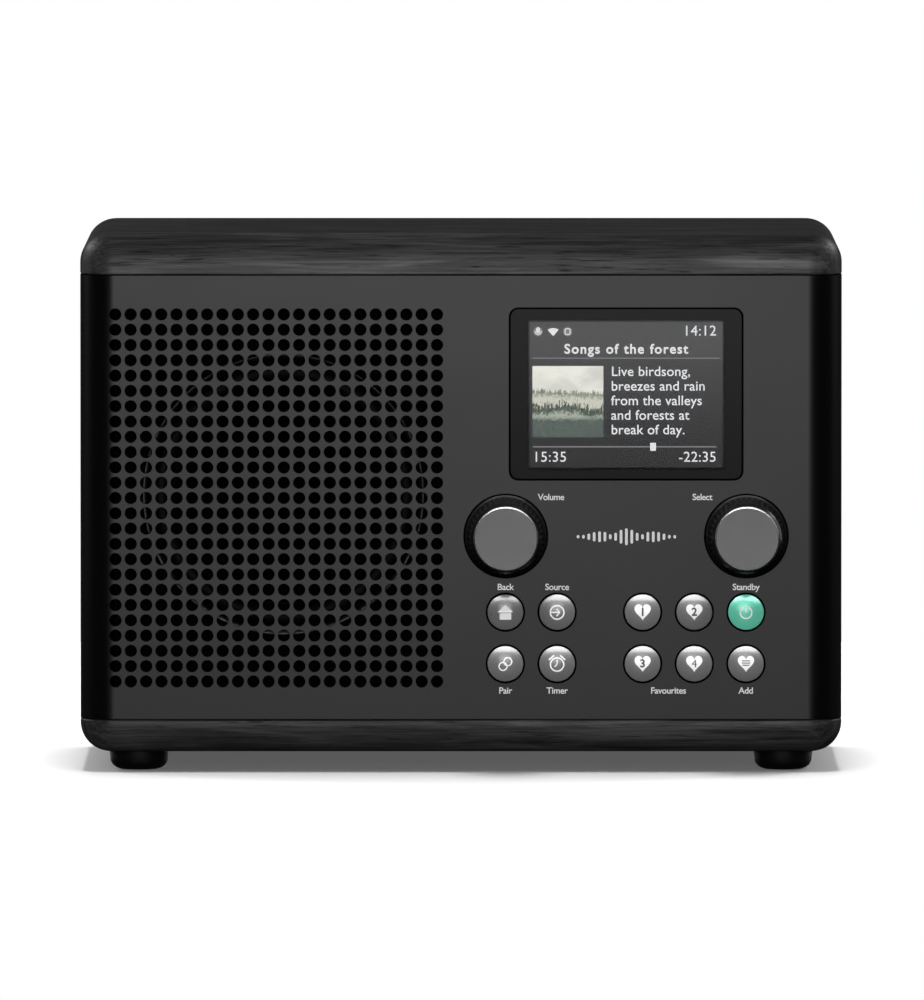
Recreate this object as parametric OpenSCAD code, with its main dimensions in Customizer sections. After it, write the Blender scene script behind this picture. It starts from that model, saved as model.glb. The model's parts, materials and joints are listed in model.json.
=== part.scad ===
// Tabletop radio: perforated sleeve between two rolled-edge wood panels, with a
// full-range driver, a colour display, two push-and-turn dials, ten buttons and
// a telescopic aerial folded away behind.
// Frame: origin at the centre of the footprint, +X to the listener's right,
// the front faces -Y, +Z up. Millimetres.

/* [Cabinet] */
// Width of the cabinet
body_w = 230; // [230:1:250]
// Depth of the cabinet without dials and aerial
body_d = 130; // [126:1:150]
// Height of the sleeve between the two wood panels
sleeve_h = 134.5; // [134:0.5:140]
// Thickness of the top wood panel
top_h = 12.5; // [10:0.5:16]
// Thickness of the bottom wood panel
bottom_h = 10; // [9.5:0.5:14]
// Radius of the rolled edges of the wood panels
roll_r = 9; // [5:0.5:9]
// Radius of the upright corners
corner_r = 10.5; // [10:0.5:12]
// Thickness of the sleeve's sheet
sheet_t = 1.2; // [1:0.1:1.4]
// Shadow gap between the sleeve and each wood panel
seam_gap = 0.3; // [0.2:0.1:0.6]
// Wall of the rear cover
cover_t = 2.2; // [2:0.1:2.6]

/* [Feet] */
// Height of a foot
foot_h = 6; // [4:0.5:8]
// Radius of a foot where it meets the panel
foot_r = 9; // [7:0.5:10]
// Distance of the feet from the middle
foot_x = 97.5; // [80:0.5:100]
// Distance of the feet from the front and rear faces
foot_inset = 20; // [15:1:30]

/* [Grille] */
// Distance between neighbouring holes
hole_pitch = 4.62; // [4.3:0.01:4.65]
// Radius of a hole
hole_r = 1.75; // [1.2:0.05:1.9]
// Holes in a row
hole_cols = 22; // [8:1:22]
// Rows of holes
hole_rows = 25; // [8:1:25]
// Middle of the grille across the front
grille_x = -55.75; // [-56:0.25:-55]
// Middle of the grille above the table
grille_z = 83.1; // [80:0.1:86]

/* [Display] */
// Width of the display window
window_w = 70.6; // [68:0.1:72]
// Height of the display window
window_h = 52.1; // [50:0.1:54]
// Corner radius of the display window
window_r = 2.8; // [2:0.1:4]
// Middle of the window across the front
window_x = 49.8; // [46:0.1:54]
// Middle of the window above the table
window_z = 114.5; // [113:0.1:116]
// Width of the lit picture
screen_w = 57.6; // [50:0.1:60]
// Height of the lit picture
screen_h = 43.2; // [38:0.1:45]

/* [Dials] */
// Volume dial's axis across the front
volume_x = 13.5; // [13:0.1:16]
// Select dial's axis across the front
select_x = 86.1; // [84:0.1:87]
// Axis of both dials above the table
dial_z = 71.6; // [70:0.1:73]
// Radius of a dial at its base
dial_r = 11.6; // [10:0.1:12]
// Radius of a dial under its cap
dial_tip_r = 10.2; // [9:0.1:11]
// Radius of the dial's cap
dial_cap_r = 9.7; // [8:0.1:10]
// How far a dial stands out of the front
dial_reach = 18.5; // [14:0.5:22]
// How far a dial can be pressed
dial_press = 0.5; // [0.3:0.1:0.6]

/* [Buttons] */
// Radius of a button's cap
button_r = 5.4; // [4:0.1:5.6]
// Gap round a button's cap
button_gap = 0.45; // [0.2:0.05:0.6]
// How far a button's dome stands out
button_dome = 1.2; // [0.6:0.1:2]
// How far a button can be pressed
button_travel = 0.9; // [0.4:0.1:1]
// Distance between neighbouring buttons
button_pitch = 15.6; // [15.2:0.1:16]
// First column of the left pair of buttons
left_group_x = 13.4; // [12:0.1:14]
// First column of the right three buttons
right_group_x = 54.8; // [52:0.1:56]
// Upper row of buttons above the table
button_z = 48.6; // [47:0.1:50]

/* [Loudspeaker] */
// Driver's axis across the front
driver_x = -53.6; // [-56:0.1:-52]
// Driver's axis above the table
driver_z = 84; // [82:0.1:86]
// Radius of the driver's flange
driver_r = 45; // [44:0.5:46]
// How far the cone moves each way
cone_travel = 1.5; // [0.5:0.1:2]

/* [Aerial] */
// Aerial's swivel axis across the rear
aerial_x = 88; // [80:1:92]
// Aerial's swivel axis above the table
aerial_z = 132; // [126:1:134]
// Length of the outer tube
mast_l = 130; // [100:1:150]
// Radius of the outer tube
mast_r = 3; // [2.8:0.1:3.2]
// Wall of every tube
tube_wall = 0.44; // [0.4:0.02:0.46]

/* [Hidden] */
$fn = 64;
eps = 0.5;                                  // how far a cutter runs past a face

// Heights above the table
base_z = foot_h + bottom_h;                 // top of the bottom panel
lid_z = base_z + sleeve_h;                  // underside of the top panel

// Depths behind the front face
pivot_back = 7;                             // aerial's tilt pin behind the rear face
ear_r = 3.5;                                // round end of the aerial's ears
rear_reach = pivot_back + ear_r;
front_y = dial_reach - (dial_reach + body_d + rear_reach) / 2;
chassis_back = sheet_t + 3.5;
lens_front = 0.15;
lens_back = 1.65;
lcd_front = 2.5;
lcd_back = 4.8;
mat_front = 7;                              // crown of the keypad's domes
mat_seat = 10;                              // foot of the domes
board_front = 11;
board_t = 1.6;
board_back = board_front + board_t;
driver_front = 6.2;
driver_back = driver_front + 2;
cover_front = body_d - 14;
rear_in = body_d - cover_t;
main_front = body_d - 18;
main_back = main_front + board_t;

// Chassis and its posts
chassis_flange = 2;                         // flange under each wood panel
post_r = 3.2;
corner_post_r = 4;
corner_post_l = 16;                         // in front of the rear cover's edge
lcd_size = [69.2, 50];
lcd_gap = 0.4;

// Buttons: two columns on the left, three on the right, two rows
left_columns = [left_group_x, left_group_x + button_pitch];
right_columns = [for (i = [0:2]) right_group_x + i * button_pitch];
button_rows = [button_z, button_z - button_pitch];
flange_r = button_r + 1.2;
pocket_r = flange_r + 0.5;
stem_r = 2;
flange_front = 1.5;
flange_back = 2.3;
pocket_back = flange_back + button_travel + 0.4;

// Dials
dial_hole_r = dial_r + 1.1;
shaft_r = 3;
shaft_gap = 0.05;                           // running clearance in the bushing
shaft_end = 8;                              // inner end of the shaft
shaft_tip = 14.5;                           // outer end, proud of the front
shaft_flat = 1.5;                           // flat of the shaft from its axis
flat_start = 5;
bushing_r = 3.5;
bushing_tip = 1.5;                          // proud of the front
encoder_w = 12.4;
encoder_front = 5;
plunger_r = 3.3;
plunger_back = 9.3;
dial_skirt = 0.4;                           // dial's lower edge below the front face
dial_hollow_r = 6.8;
cap_t = 1;

// Loudspeaker
roll_mid = 37;                              // middle of the surround's half roll
roll_out = 3.8;
roll_in = 3.2;
opening_r = 42.5;
basket_r = 41;                              // inside of the driver's flange
basket_back = 30;
plate_front = basket_back + 2;
plate_back = plate_front + 3;
magnet_back = plate_back + 10;
coil_in = 12.3;
coil_out = 12.8;
coil_front = 20;
coil_back = magnet_back - cone_travel - 2.5;
ear_circle = 48.5;
ear_boss_r = 5;
driver_angles = [45, 135, 225, 315];
function driver_ear(a) = [driver_x + ear_circle * cos(a), driver_z + ear_circle * sin(a)];

// Fasteners
screw_r = 1.25;
screw_pilot = 1.3;
wide_screw_r = 1.5;
wide_pilot = 1.55;
panel_bite = 8;                             // depth of a pilot in the top panel
head_seat = 1.1;                            // rear screws' heads below the rear face
board_points = [[3.5, 27], [97.5, 27], [3.5, 82], [97.5, 82]];
main_points = [[12, 34], [98, 34], [12, 106], [98, 106]];
rear_rows = [base_z + 5, lid_z - 5];
rear_columns = [-99, 0, 99];
panel_points = [for (x = [-92, 92], d = [28, 98]) [x, d]];

// Rear sockets: x and z of each axis
headphone_at = [30, 46];
aux_at = [46, 46];
usb_at = [61, 46];
dc_at = [78, 46];
jack_r = 1.8;
jack_barrel_r = 3;
dc_entry_r = 5.2;
bush_r = 4.5;                               // aerial's bush through the rear cover
recess_r = 3;                               // round corners of the rear recesses

// Aerial: radii of the four sections, and how far each stands out of the last
section_gap = 0.06;
section_step = tube_wall + section_gap;
stand_out = 2;
tube_start = 4.2;                           // outer tube's end from the tilt pin
pivot_y = front_y + body_d + pivot_back;
function section_r(i) = mast_r - i * section_step;
function section_end(i) = tube_start + mast_l + i * stand_out;

// Wires
wire_sides = 8;
wire_steps = 5;                             // rings between two points

// ---------- Drawing aids ----------

// Draws in x and z, and gives the drawing a thickness between two depths
module plate(from, to) {
    translate([0, front_y + to, 0]) rotate([90, 0, 0]) linear_extrude(to - from) children();
}

// Turns a profile of radius and depth about an axis along Y
module turned(x, z) {
    translate([x, front_y, z]) rotate([-90, 0, 0]) rotate_extrude() children();
}

module ring(inner, outer, from, to) {
    translate([inner, from]) square([outer - inner, to - from]);
}

module rounded_rect(w, h, r) {
    square([w - 2 * r, h], center = true);
    square([w, h - 2 * r], center = true);
    for (x = [-1, 1], y = [-1, 1]) translate([x * (w / 2 - r), y * (h / 2 - r)]) circle(r = r);
}

// Plan of the sleeve or rear cover: round at one end, straight at the other
module round_fronted(half_w, from, to, r) {
    translate([-half_w, front_y + from + r]) square([2 * half_w, to - from - r]);
    translate([-half_w + r, front_y + from]) square([2 * (half_w - r), r]);
    for (x = [-1, 1]) translate([x * (half_w - r), front_y + from + r]) circle(r = r);
}

module round_backed(half_w, from, to, r) {
    intersection() {
        translate([-half_w, front_y + from]) square([2 * half_w, to - from]);
        union() {
            translate([-half_w, front_y + from]) square([2 * half_w, to - from - r]);
            translate([-half_w + r, front_y + from]) square([2 * (half_w - r), to - from]);
            for (x = [-1, 1]) translate([x * (half_w - r), front_y + to - r]) circle(r = r);
        }
    }
}

// Section of a rolled edge, from the corner's axis outwards
module roll_section(h) {
    square([corner_r - roll_r, h]);
    square([corner_r, h - roll_r]);
    translate([corner_r - roll_r, h - roll_r]) intersection() {
        circle(r = roll_r);
        square(roll_r);
    }
}

// Panel with upright round corners and rolled upper edges, lower face at z = 0
module rolled_panel(h) {
    long_x = body_w - 2 * corner_r;
    long_y = body_d - 2 * corner_r;
    translate([-long_x / 2, front_y + corner_r, 0]) {
        cube([long_x, long_y, h]);
        for (x = [0, long_x], y = [0, long_y])
            translate([x, y, 0]) rotate_extrude() roll_section(h);
        for (y = [0, long_y])
            translate([0, y, 0]) mirror([0, y == 0 ? 1 : 0, 0])
                rotate([90, 0, 90]) linear_extrude(long_x) roll_section(h);
        for (x = [0, long_x])
            translate([x, long_y, 0]) mirror([x == 0 ? 1 : 0, 0, 0])
                rotate([90, 0, 0]) linear_extrude(long_y) roll_section(h);
    }
}

// Catmull-Rom curve: the place at t on the stretch that starts at point i
function curve(p, i, t) =
    let (
        a = p[max(i - 1, 0)],
        b = p[i],
        c = p[i + 1],
        d = p[min(i + 2, len(p) - 1)]
    )
    0.5 * (2 * b + (c - a) * t + (2 * a - 5 * b + 4 * c - d) * t * t + (3 * b - a - 3 * c + d) * t * t * t);

function unit(v) = v / norm(v);

// Round wire swept along a smooth curve through a list of points
module wire(points, r) {
    path = concat(
        [for (i = [0:len(points) - 2], k = [0:wire_steps - 1]) curve(points, i, k / wire_steps)],
        [points[len(points) - 1]]
    );
    last = len(path) - 1;
    rings = [
        for (i = [0:last])
            let (
                run = unit(path[min(i + 1, last)] - path[max(i - 1, 0)]),
                side = unit(cross(run, [1, 0, 0])),
                up = cross(side, run)
            )
            for (k = [0:wire_sides - 1])
                path[i] + r * (side * cos(360 * k / wire_sides) + up * sin(360 * k / wire_sides))
    ];
    n = wire_sides;
    walls = [
        for (i = [0:last - 1], k = [0:n - 1])
            [i * n + k, i * n + (k + 1) % n, (i + 1) * n + (k + 1) % n, (i + 1) * n + k]
    ];
    ends = [[for (k = [n - 1:-1:0]) k], [for (k = [0:n - 1]) last * n + k]];
    polyhedron(rings, concat(walls, ends));
}

// Pan-head screw along Y: head towards the front or the rear
module screw_along(x, z, r, head_at, length, to_rear) {
    side = to_rear ? 1 : -1;
    turned(x, z) ring(0, r, min(head_at, head_at + side * length), max(head_at, head_at + side * length));
    turned(x, z) ring(0, 2.2 * r, min(head_at, head_at - side * 1.6), max(head_at, head_at - side * 1.6));
}

// ---------- Cabinet ----------

// Top wood panel with four blind screw pilots underneath
module top_panel() {
    color("#2b2a2a") difference() {
        translate([0, 0, lid_z]) rolled_panel(top_h);
        for (p = panel_points)
            translate([p[0], front_y + p[1], lid_z - eps]) cylinder(r = wide_pilot, h = eps + panel_bite);
    }
}

// Bottom wood panel, the same board turned over
module bottom_panel() {
    color("#262525") difference() {
        translate([0, 0, base_z]) mirror([0, 0, 1]) rolled_panel(bottom_h);
        for (p = panel_points)
            translate([p[0], front_y + p[1], base_z - panel_bite + 1])
                cylinder(r = wide_pilot, h = panel_bite - 1 + eps);
    }
}

module grille_holes() {
    for (i = [0:hole_cols - 1], j = [0:hole_rows - 1])
        translate([
            grille_x + (i - (hole_cols - 1) / 2) * hole_pitch,
            grille_z + (j - (hole_rows - 1) / 2) * hole_pitch
        ]) circle(r = hole_r, $fn = 24);
}

module window_shape(grow) {
    translate([window_x, window_z]) rounded_rect(window_w + grow, window_h + grow, window_r + grow / 2);
}

module at_buttons() {
    for (x = concat(left_columns, right_columns), z = button_rows) translate([x, z]) children();
}

module at_dials() {
    for (x = [volume_x, select_x]) translate([x, dial_z]) children();
}

// One folded sheet: perforated front and both sides
module front_shell() {
    color("#3c3c3d") difference() {
        translate([0, 0, base_z + seam_gap]) linear_extrude(sleeve_h - 2 * seam_gap) difference() {
            round_fronted(body_w / 2, 0, cover_front, corner_r);
            round_fronted(body_w / 2 - sheet_t, sheet_t, cover_front + eps, corner_r - sheet_t);
        }
        plate(-eps, sheet_t + eps) {
            grille_holes();
            window_shape(0);
            at_buttons() circle(r = button_r + button_gap);
            at_dials() circle(r = dial_hole_r);
        }
    }
}

// Moulded carrier behind the sheet, with a flange under each wood panel
module front_chassis() {
    chassis_w = body_w - 2 * corner_r;
    flange_d = cover_front - chassis_back;
    bezel = 0.7;                            // showing round the lit picture
    color("#141414") difference() {
        union() {
            plate(sheet_t, chassis_back) translate([-chassis_w / 2, base_z]) square([chassis_w, sleeve_h]);
            for (z = [base_z, lid_z - chassis_flange])
                translate([-chassis_w / 2, front_y + chassis_back, z])
                    cube([chassis_w, flange_d, chassis_flange]);
            plate(chassis_back, board_front) for (p = board_points) translate(p) circle(r = post_r);
            // bosses for the driver's ears, cut back round its gasket
            plate(chassis_back, driver_front) difference() {
                for (a = driver_angles) translate(driver_ear(a)) circle(r = ear_boss_r);
                translate([driver_x, driver_z]) circle(r = driver_r + 0.1);
            }
            plate(cover_front - corner_post_l, rear_in)
                for (x = rear_columns, z = rear_rows) translate([x, z]) circle(r = corner_post_r);
        }
        plate(sheet_t - eps, lens_back) window_shape(1);
        plate(0, chassis_back + eps) translate([window_x, window_z])
            square([screen_w + 2 * bezel, screen_h + 2 * bezel], center = true);
        plate(lcd_front, chassis_back + eps) translate([window_x, window_z])
            square(lcd_size + [lcd_gap, lcd_gap], center = true);
        plate(sheet_t - eps, pocket_back) at_buttons() circle(r = pocket_r);
        plate(0, chassis_back + eps) at_buttons() circle(r = stem_r + 0.3);
        plate(sheet_t - eps, sheet_t + 1) at_dials() circle(r = dial_hole_r + 0.3);
        plate(0, chassis_back + eps) at_dials() circle(r = bushing_r + 0.3);
        plate(0, chassis_back + eps) translate([driver_x, driver_z]) circle(r = opening_r);
        plate(board_front - 6, board_front + eps)
            for (p = board_points) translate(p) circle(r = screw_pilot);
        plate(driver_front - 4, driver_front + eps)
            for (a = driver_angles) translate(driver_ear(a)) circle(r = wide_pilot);
        plate(rear_in - 10, rear_in + eps)
            for (x = rear_columns, z = rear_rows) translate([x, z]) circle(r = wide_pilot);
        for (p = panel_points)
            translate([p[0], front_y + p[1], 0]) cylinder(r = wide_screw_r + 0.4, h = lid_z + eps);
    }
}

// A row of upright slots behind the driver
module vent_slots() {
    slots = 12;
    slot_pitch = 6;
    for (i = [0:slots - 1])
        translate([-94 + i * slot_pitch, 98]) rounded_rect(2.4, 34, 1.1);
}

// Rear tray with sockets, vents and posts for the main board
module rear_cover() {
    lip_t = 1.6;                            // lip inside each of the sleeve's edges
    lip_x = body_w / 2 - sheet_t - 0.15;
    lip_inset = 3;
    socket_recess = 0.8;
    label_recess = 0.4;
    color("#1b1b1c") difference() {
        union() {
            translate([0, 0, base_z]) linear_extrude(sleeve_h) difference() {
                round_backed(body_w / 2, cover_front, body_d, corner_r);
                round_backed(body_w / 2 - cover_t, cover_front - eps, rear_in, corner_r - cover_t);
            }
            for (x = [-lip_x, lip_x - lip_t])
                translate([x, front_y + cover_front - 4, base_z + lip_inset])
                    cube([lip_t, 8, sleeve_h - 2 * lip_inset]);
            plate(main_back, rear_in) for (p = main_points) translate(p) circle(r = post_r);
        }
        plate(main_back - eps, main_back + 8) for (p = main_points) translate(p) circle(r = screw_pilot);
        plate(rear_in - eps, body_d + eps) {
            for (x = rear_columns, z = rear_rows) translate([x, z]) circle(r = wide_screw_r + 0.3);
            for (p = [headphone_at, aux_at]) translate(p) circle(r = jack_barrel_r + 0.2);
            translate(dc_at) circle(r = dc_entry_r);
            translate(usb_at) rounded_rect(9.6, 4.6, 1);
            translate([aerial_x, aerial_z]) circle(r = bush_r + 0.1);
            vent_slots();
        }
        plate(body_d - socket_recess, body_d + eps) translate([54, 46]) rounded_rect(66, 22, recess_r);
        plate(body_d - label_recess, body_d + eps) translate([-48, 46]) rounded_rect(86, 36, recess_r);
        plate(body_d - head_seat, body_d + eps)
            for (x = rear_columns, z = rear_rows) translate([x, z]) circle(r = 3.8);
    }
}

// Rubber foot with a tapered side and a rounded tread
module foot(x, d) {
    tread = [[0, 0], [5.2, 0], [6.9, 0.5], [8.2, 1.7], [foot_r - 0.4, 2.4], [foot_r, foot_h], [0, foot_h]];
    color("#0d0d0d") translate([x, front_y + d, 0]) rotate_extrude() polygon(tread);
}

// ---------- Display ----------

module display_lens() {
    color([0.1, 0.1, 0.11, 0.6]) plate(lens_front, lens_back) window_shape(-0.4);
}

module lcd_panel() {
    color("#20242a") plate(lcd_front, lcd_back)
        translate([window_x, window_z]) square(lcd_size, center = true);
}

// ---------- Buttons and their board ----------

// Domed cap, retaining flange and stem, turned about its own axis
module button(x, z, tint) {
    edge = 0.3;                             // proud height of the dome's rim
    dome_r = (button_r * button_r + pow(button_dome - edge, 2)) / (2 * (button_dome - edge));
    color(tint) {
        turned(x, z) {
            ring(0, button_r, -edge, flange_front);
            ring(0, flange_r, flange_front, flange_back);
            ring(0, stem_r, flange_back, mat_front - 0.05);
            intersection() {
                translate([0, dome_r - button_dome]) circle(r = dome_r);
                ring(0, button_r, -button_dome, -edge);
            }
        }
    }
}

// Silicone sheet with a hollow dome under each button
module keypad_mat() {
    color("#55585c") {
        plate(mat_seat, board_front) difference() {
            translate([8, 26]) square([84, 29.6]);
            at_buttons() circle(r = 3.6);
        }
        for (x = concat(left_columns, right_columns), z = button_rows)
            turned(x, z) polygon([
                [0, mat_front], [2.4, mat_front], [4.4, mat_seat], [3.6, mat_seat],
                [1.9, mat_front + 0.9], [0, mat_front + 0.9]
            ]);
    }
}

module control_board() {
    color("#1f5a34") {
        plate(board_front, board_back) difference() {
            translate([0, 23.5]) square([101, 62]);
            for (p = board_points) translate(p) circle(r = 1.6);
        }
        // socket of the ribbon cable and the button controller
        plate(board_back, board_back + 3) translate([39, 58]) square([24, 5]);
        plate(board_back, board_back + 1.2) translate([45, 36]) square([9, 9]);
    }
}

// ---------- Dials: switch body, plunger, shaft, knob and cap ----------

module encoder(x) {
    color("#8f9296") difference() {
        union() {
            plate(encoder_front, board_front)
                translate([x, dial_z]) square([encoder_w, encoder_w], center = true);
            turned(x, dial_z) ring(0, bushing_r, -bushing_tip, encoder_front);
        }
        turned(x, dial_z) {
            ring(0, shaft_r + shaft_gap, -bushing_tip - eps, shaft_end);
            ring(0, plunger_r + 0.2, shaft_end, plunger_back + dial_press + 0.3);
        }
    }
    // nut on the bushing
    color("#b9bbbd") difference() {
        plate(sheet_t - 0.8, sheet_t + 1) translate([x, dial_z]) circle(r = 5.6, $fn = 6);
        turned(x, dial_z) ring(0, bushing_r, 0, board_front);
    }
}

module plunger(x) {
    color("#d9d9d4") turned(x, dial_z) ring(0, plunger_r, shaft_end + 0.05, plunger_back);
}

// Round below, D-shaped where the knob sits
module shaft_blank(x, grow, tip) {
    difference() {
        turned(x, dial_z) ring(0, shaft_r - 0.02 + grow, -tip, shaft_end);
        translate([x - shaft_r, front_y - tip - eps, dial_z + shaft_flat + grow])
            cube([2 * shaft_r, tip + eps - flat_start, shaft_r]);
    }
}

module dial_shaft(x) {
    color("#c9cbcc") shaft_blank(x, 0, shaft_tip);
}

// Knurled grip, plain here, with a socket for the shaft and room for the nut
module dial_knob(x) {
    cap_seat = dial_reach - cap_t;
    color("#171717") difference() {
        turned(x, dial_z) polygon([
            [0, dial_skirt], [dial_r + 0.7, dial_skirt], [dial_r + 0.7, -0.8], [dial_r, -1.2],
            [dial_tip_r, 0.6 - cap_seat], [dial_tip_r - 0.6, -cap_seat], [0, -cap_seat]
        ]);
        turned(x, dial_z) ring(0, dial_hollow_r, -3, dial_skirt + eps);
        shaft_blank(x, 0.02, shaft_tip);
    }
}

module dial_cap(x) {
    rim = 0.4;
    color("#6f7072") turned(x, dial_z) polygon([
        [0, cap_t - dial_reach], [dial_cap_r, cap_t - dial_reach], [dial_cap_r, rim - dial_reach],
        [dial_cap_r - rim, -dial_reach], [0, -dial_reach]
    ]);
}

// ---------- Loudspeaker ----------

// Pressed basket: flange with four ears, slotted cone and rear seat
module speaker_frame() {
    color("#3a3b3d") difference() {
        union() {
            turned(driver_x, driver_z) difference() {
                union() {
                    ring(basket_r, driver_r, driver_front, driver_back);
                    polygon([
                        [basket_r, driver_back - 0.1], [basket_r + 2, driver_back - 0.1],
                        [27, plate_front], [25, basket_back]
                    ]);
                    ring(13.6, 27, basket_back, plate_front);
                }
            }
            plate(driver_front, driver_back) difference() {
                for (a = driver_angles) translate(driver_ear(a)) circle(r = ear_boss_r);
                translate([driver_x, driver_z]) circle(r = driver_r - 1);
            }
        }
        for (a = [0:60:300])
            translate([driver_x, front_y, driver_z]) rotate([-90, 0, 0]) rotate([0, 0, a])
                translate([24, -7, 13]) cube([22, 14, 12]);
        plate(driver_front - eps, driver_back + eps)
            for (a = driver_angles) translate(driver_ear(a)) circle(r = 1.9);
    }
}

// Front plate, ring magnet and rear plate with its pole
module speaker_magnet() {
    color("#77797c") turned(driver_x, driver_z) ring(13.2, 28, plate_front, plate_back);
    color("#2a2a2c") turned(driver_x, driver_z) ring(16, 32, plate_back, magnet_back);
    color("#77797c") turned(driver_x, driver_z) {
        ring(0, 28, magnet_back, magnet_back + 4);
        ring(0, 11.9, plate_front, magnet_back + 1);
    }
}

// Half roll with an outer and an inner lip
module speaker_surround() {
    color("#101010") turned(driver_x, driver_z) {
        translate([roll_mid, driver_front]) intersection() {
            difference() {
                circle(r = roll_out);
                circle(r = roll_in);
            }
            translate([-roll_out, -roll_out]) square([2 * roll_out, roll_out]);
        }
        ring(roll_mid + roll_in, 42.4, driver_front - 0.6, driver_front);
        ring(33, roll_mid - roll_in, driver_front, driver_front + 0.6);
    }
}

module speaker_spider() {
    color("#c8a15a") turned(driver_x, driver_z) {
        for (i = [0:4])
            ring(coil_out + 0.1 + 2.2 * i, coil_out + 2.5 + 2.2 * i, 26 + (i % 2) * 0.5, 26.8 + (i % 2) * 0.5);
        ring(coil_out + 11, 26.4, 26.2, 27);
    }
}

module speaker_cone() {
    color("#1c1c1e") turned(driver_x, driver_z) polygon([
        [33.8, 7], [33.8, 7.8], [coil_out + 1.4, 23.6], [coil_out + 0.1, 23.6],
        [coil_out + 0.1, 22.6], [32.6, 7]
    ]);
}

// Shallow dome over the voice coil
module speaker_dust_cap() {
    cap_r = 12.2;
    rise = 4.5;
    sphere_r = (cap_r * cap_r + rise * rise) / (2 * rise);
    color("#0f0f10") turned(driver_x, driver_z) intersection() {
        translate([0, coil_front - rise + sphere_r]) difference() {
            circle(r = sphere_r);
            circle(r = sphere_r - 0.6);
        }
        ring(0, cap_r, coil_front - rise, coil_front);
    }
}

module speaker_voice_coil() {
    color("#b0713c") turned(driver_x, driver_z) ring(coil_in, coil_out, coil_front, coil_back);
}

module speaker_gasket() {
    color("#0b0b0b") turned(driver_x, driver_z) ring(42.6, driver_r, chassis_back, driver_front);
}

module speaker_screws() {
    color("#a9abad") for (a = driver_angles)
        screw_along(driver_ear(a)[0], driver_ear(a)[1], wide_screw_r, driver_back, 5.6, false);
}

module speaker_lead() {
    for (side = [-1, 1]) color(side > 0 ? "#8c1d1d" : "#111111")
        wire([
            [-26, front_y + 30 + eps, 66 + 2 * side], [-16, front_y + 42, 60 + 2 * side],
            [6, front_y + 66, 56 + 2 * side], [20, front_y + 90, 60 + 2 * side],
            [24, front_y + main_front - 5, 64 + 2 * side], [24, front_y + main_front - 3, 64 + 2 * side]
        ], 0.9);
}

// ---------- Main board and its sockets ----------

module main_board() {
    color("#1f5a34") plate(main_front, main_back) difference() {
        translate([8, 30]) square([94, 80]);
        for (p = main_points) translate(p) circle(r = 1.6);
    }
    // smoothing capacitors, amplifier with its heat sink, and the lead sockets
    color("#2d3550") for (x = [78, 88], z = [62, 74])
        turned(x, z) ring(0, 4, main_front - 11, main_front);
    color("#9a9da0") plate(main_front - 8, main_front) for (i = [0:4])
        translate([52 + 3 * i, 58]) square([1.2, 20]);
    color("#9a9da0") plate(main_front - 2, main_front) translate([52, 58]) square([13.2, 20]);
    color("#e4e1d6") plate(main_front - 3, main_front) translate([20.5, 60]) square([7, 8]);
    color("#e4e1d6") plate(main_front - 3, main_front) translate([39, 84]) square([24, 5]);
}

// Screened radio receiver on the main board
module radio_module() {
    color("#b4b7ba") {
        plate(main_front - 3.2, main_front) translate([67, 82]) square([26, 20]);
    }
}

// Barrel socket with its centre pin
module dc_jack() {
    color("#121212") difference() {
        plate(main_back, rear_in - 0.2) translate(dc_at) square([9, 11], center = true);
        turned(dc_at[0], dc_at[1]) ring(0, 3.2, rear_in - 10, rear_in);
    }
    color("#c9a75a") turned(dc_at[0], dc_at[1]) ring(0, 1, rear_in - 10, rear_in - 1.5);
}

module phone_jack(at, rim) {
    color(rim) difference() {
        union() {
            plate(main_back, rear_in - 1) translate(at) square([11, 11], center = true);
            turned(at[0], at[1]) ring(0, jack_barrel_r, rear_in - 1, body_d + 0.4);
        }
        turned(at[0], at[1]) ring(0, jack_r, rear_in - 11.6, body_d + 1);
    }
}

// Service socket: folded shell with a tongue
module usb_port() {
    color("#b4b7ba") plate(main_back, body_d - 0.9) translate(usb_at) difference() {
        square([8, 3], center = true);
        square([7.2, 2.2], center = true);
    }
    color("#111111") plate(main_back, body_d - 2) translate(usb_at) square([5.4, 0.6], center = true);
    color("#b4b7ba") plate(main_back, main_back + 1) translate(usb_at) square([7.2, 2.2], center = true);
}

// Flat cable from the control board to the main board, hanging in one bow
module ribbon_cable() {
    steps = 16;
    sag = 14;
    from = [board_back + 3, 60.5];
    to = [main_front - 3, 86.5];
    function bow(t) = from + (to - from) * t - [0, 4 * sag * t * (1 - t)];
    upper = [for (i = [0:steps]) bow(i / steps) + [0, 0.4]];
    lower = [for (i = [steps:-1:0]) bow(i / steps) - [0, 0.4]];
    color("#c9ccd0") translate([41, front_y, 0]) rotate([90, 0, 90])
        linear_extrude(20) polygon(concat(upper, lower));
}

module aerial_lead() {
    color("#161616") wire([
        [aerial_x, front_y + 121.4, aerial_z], [aerial_x, front_y + 117, aerial_z - 4],
        [84, front_y + 108, 118], [80, front_y + main_front - 6, 106],
        [80, front_y + main_front - 4.2, 98]
    ], 0.9);
}

// ---------- Aerial ----------

// Threaded bush with its nut inside the rear cover
module aerial_socket() {
    color("#a9abad") {
        turned(aerial_x, aerial_z) {
            ring(2.6, bush_r, rear_in - 2.4, body_d);
            ring(2.6, 7, body_d, body_d + 1.2);
        }
        difference() {
            plate(rear_in - 2, rear_in) translate([aerial_x, aerial_z]) circle(r = 7, $fn = 6);
            turned(aerial_x, aerial_z) ring(0, bush_r, rear_in - 3, body_d);
        }
    }
}

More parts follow.
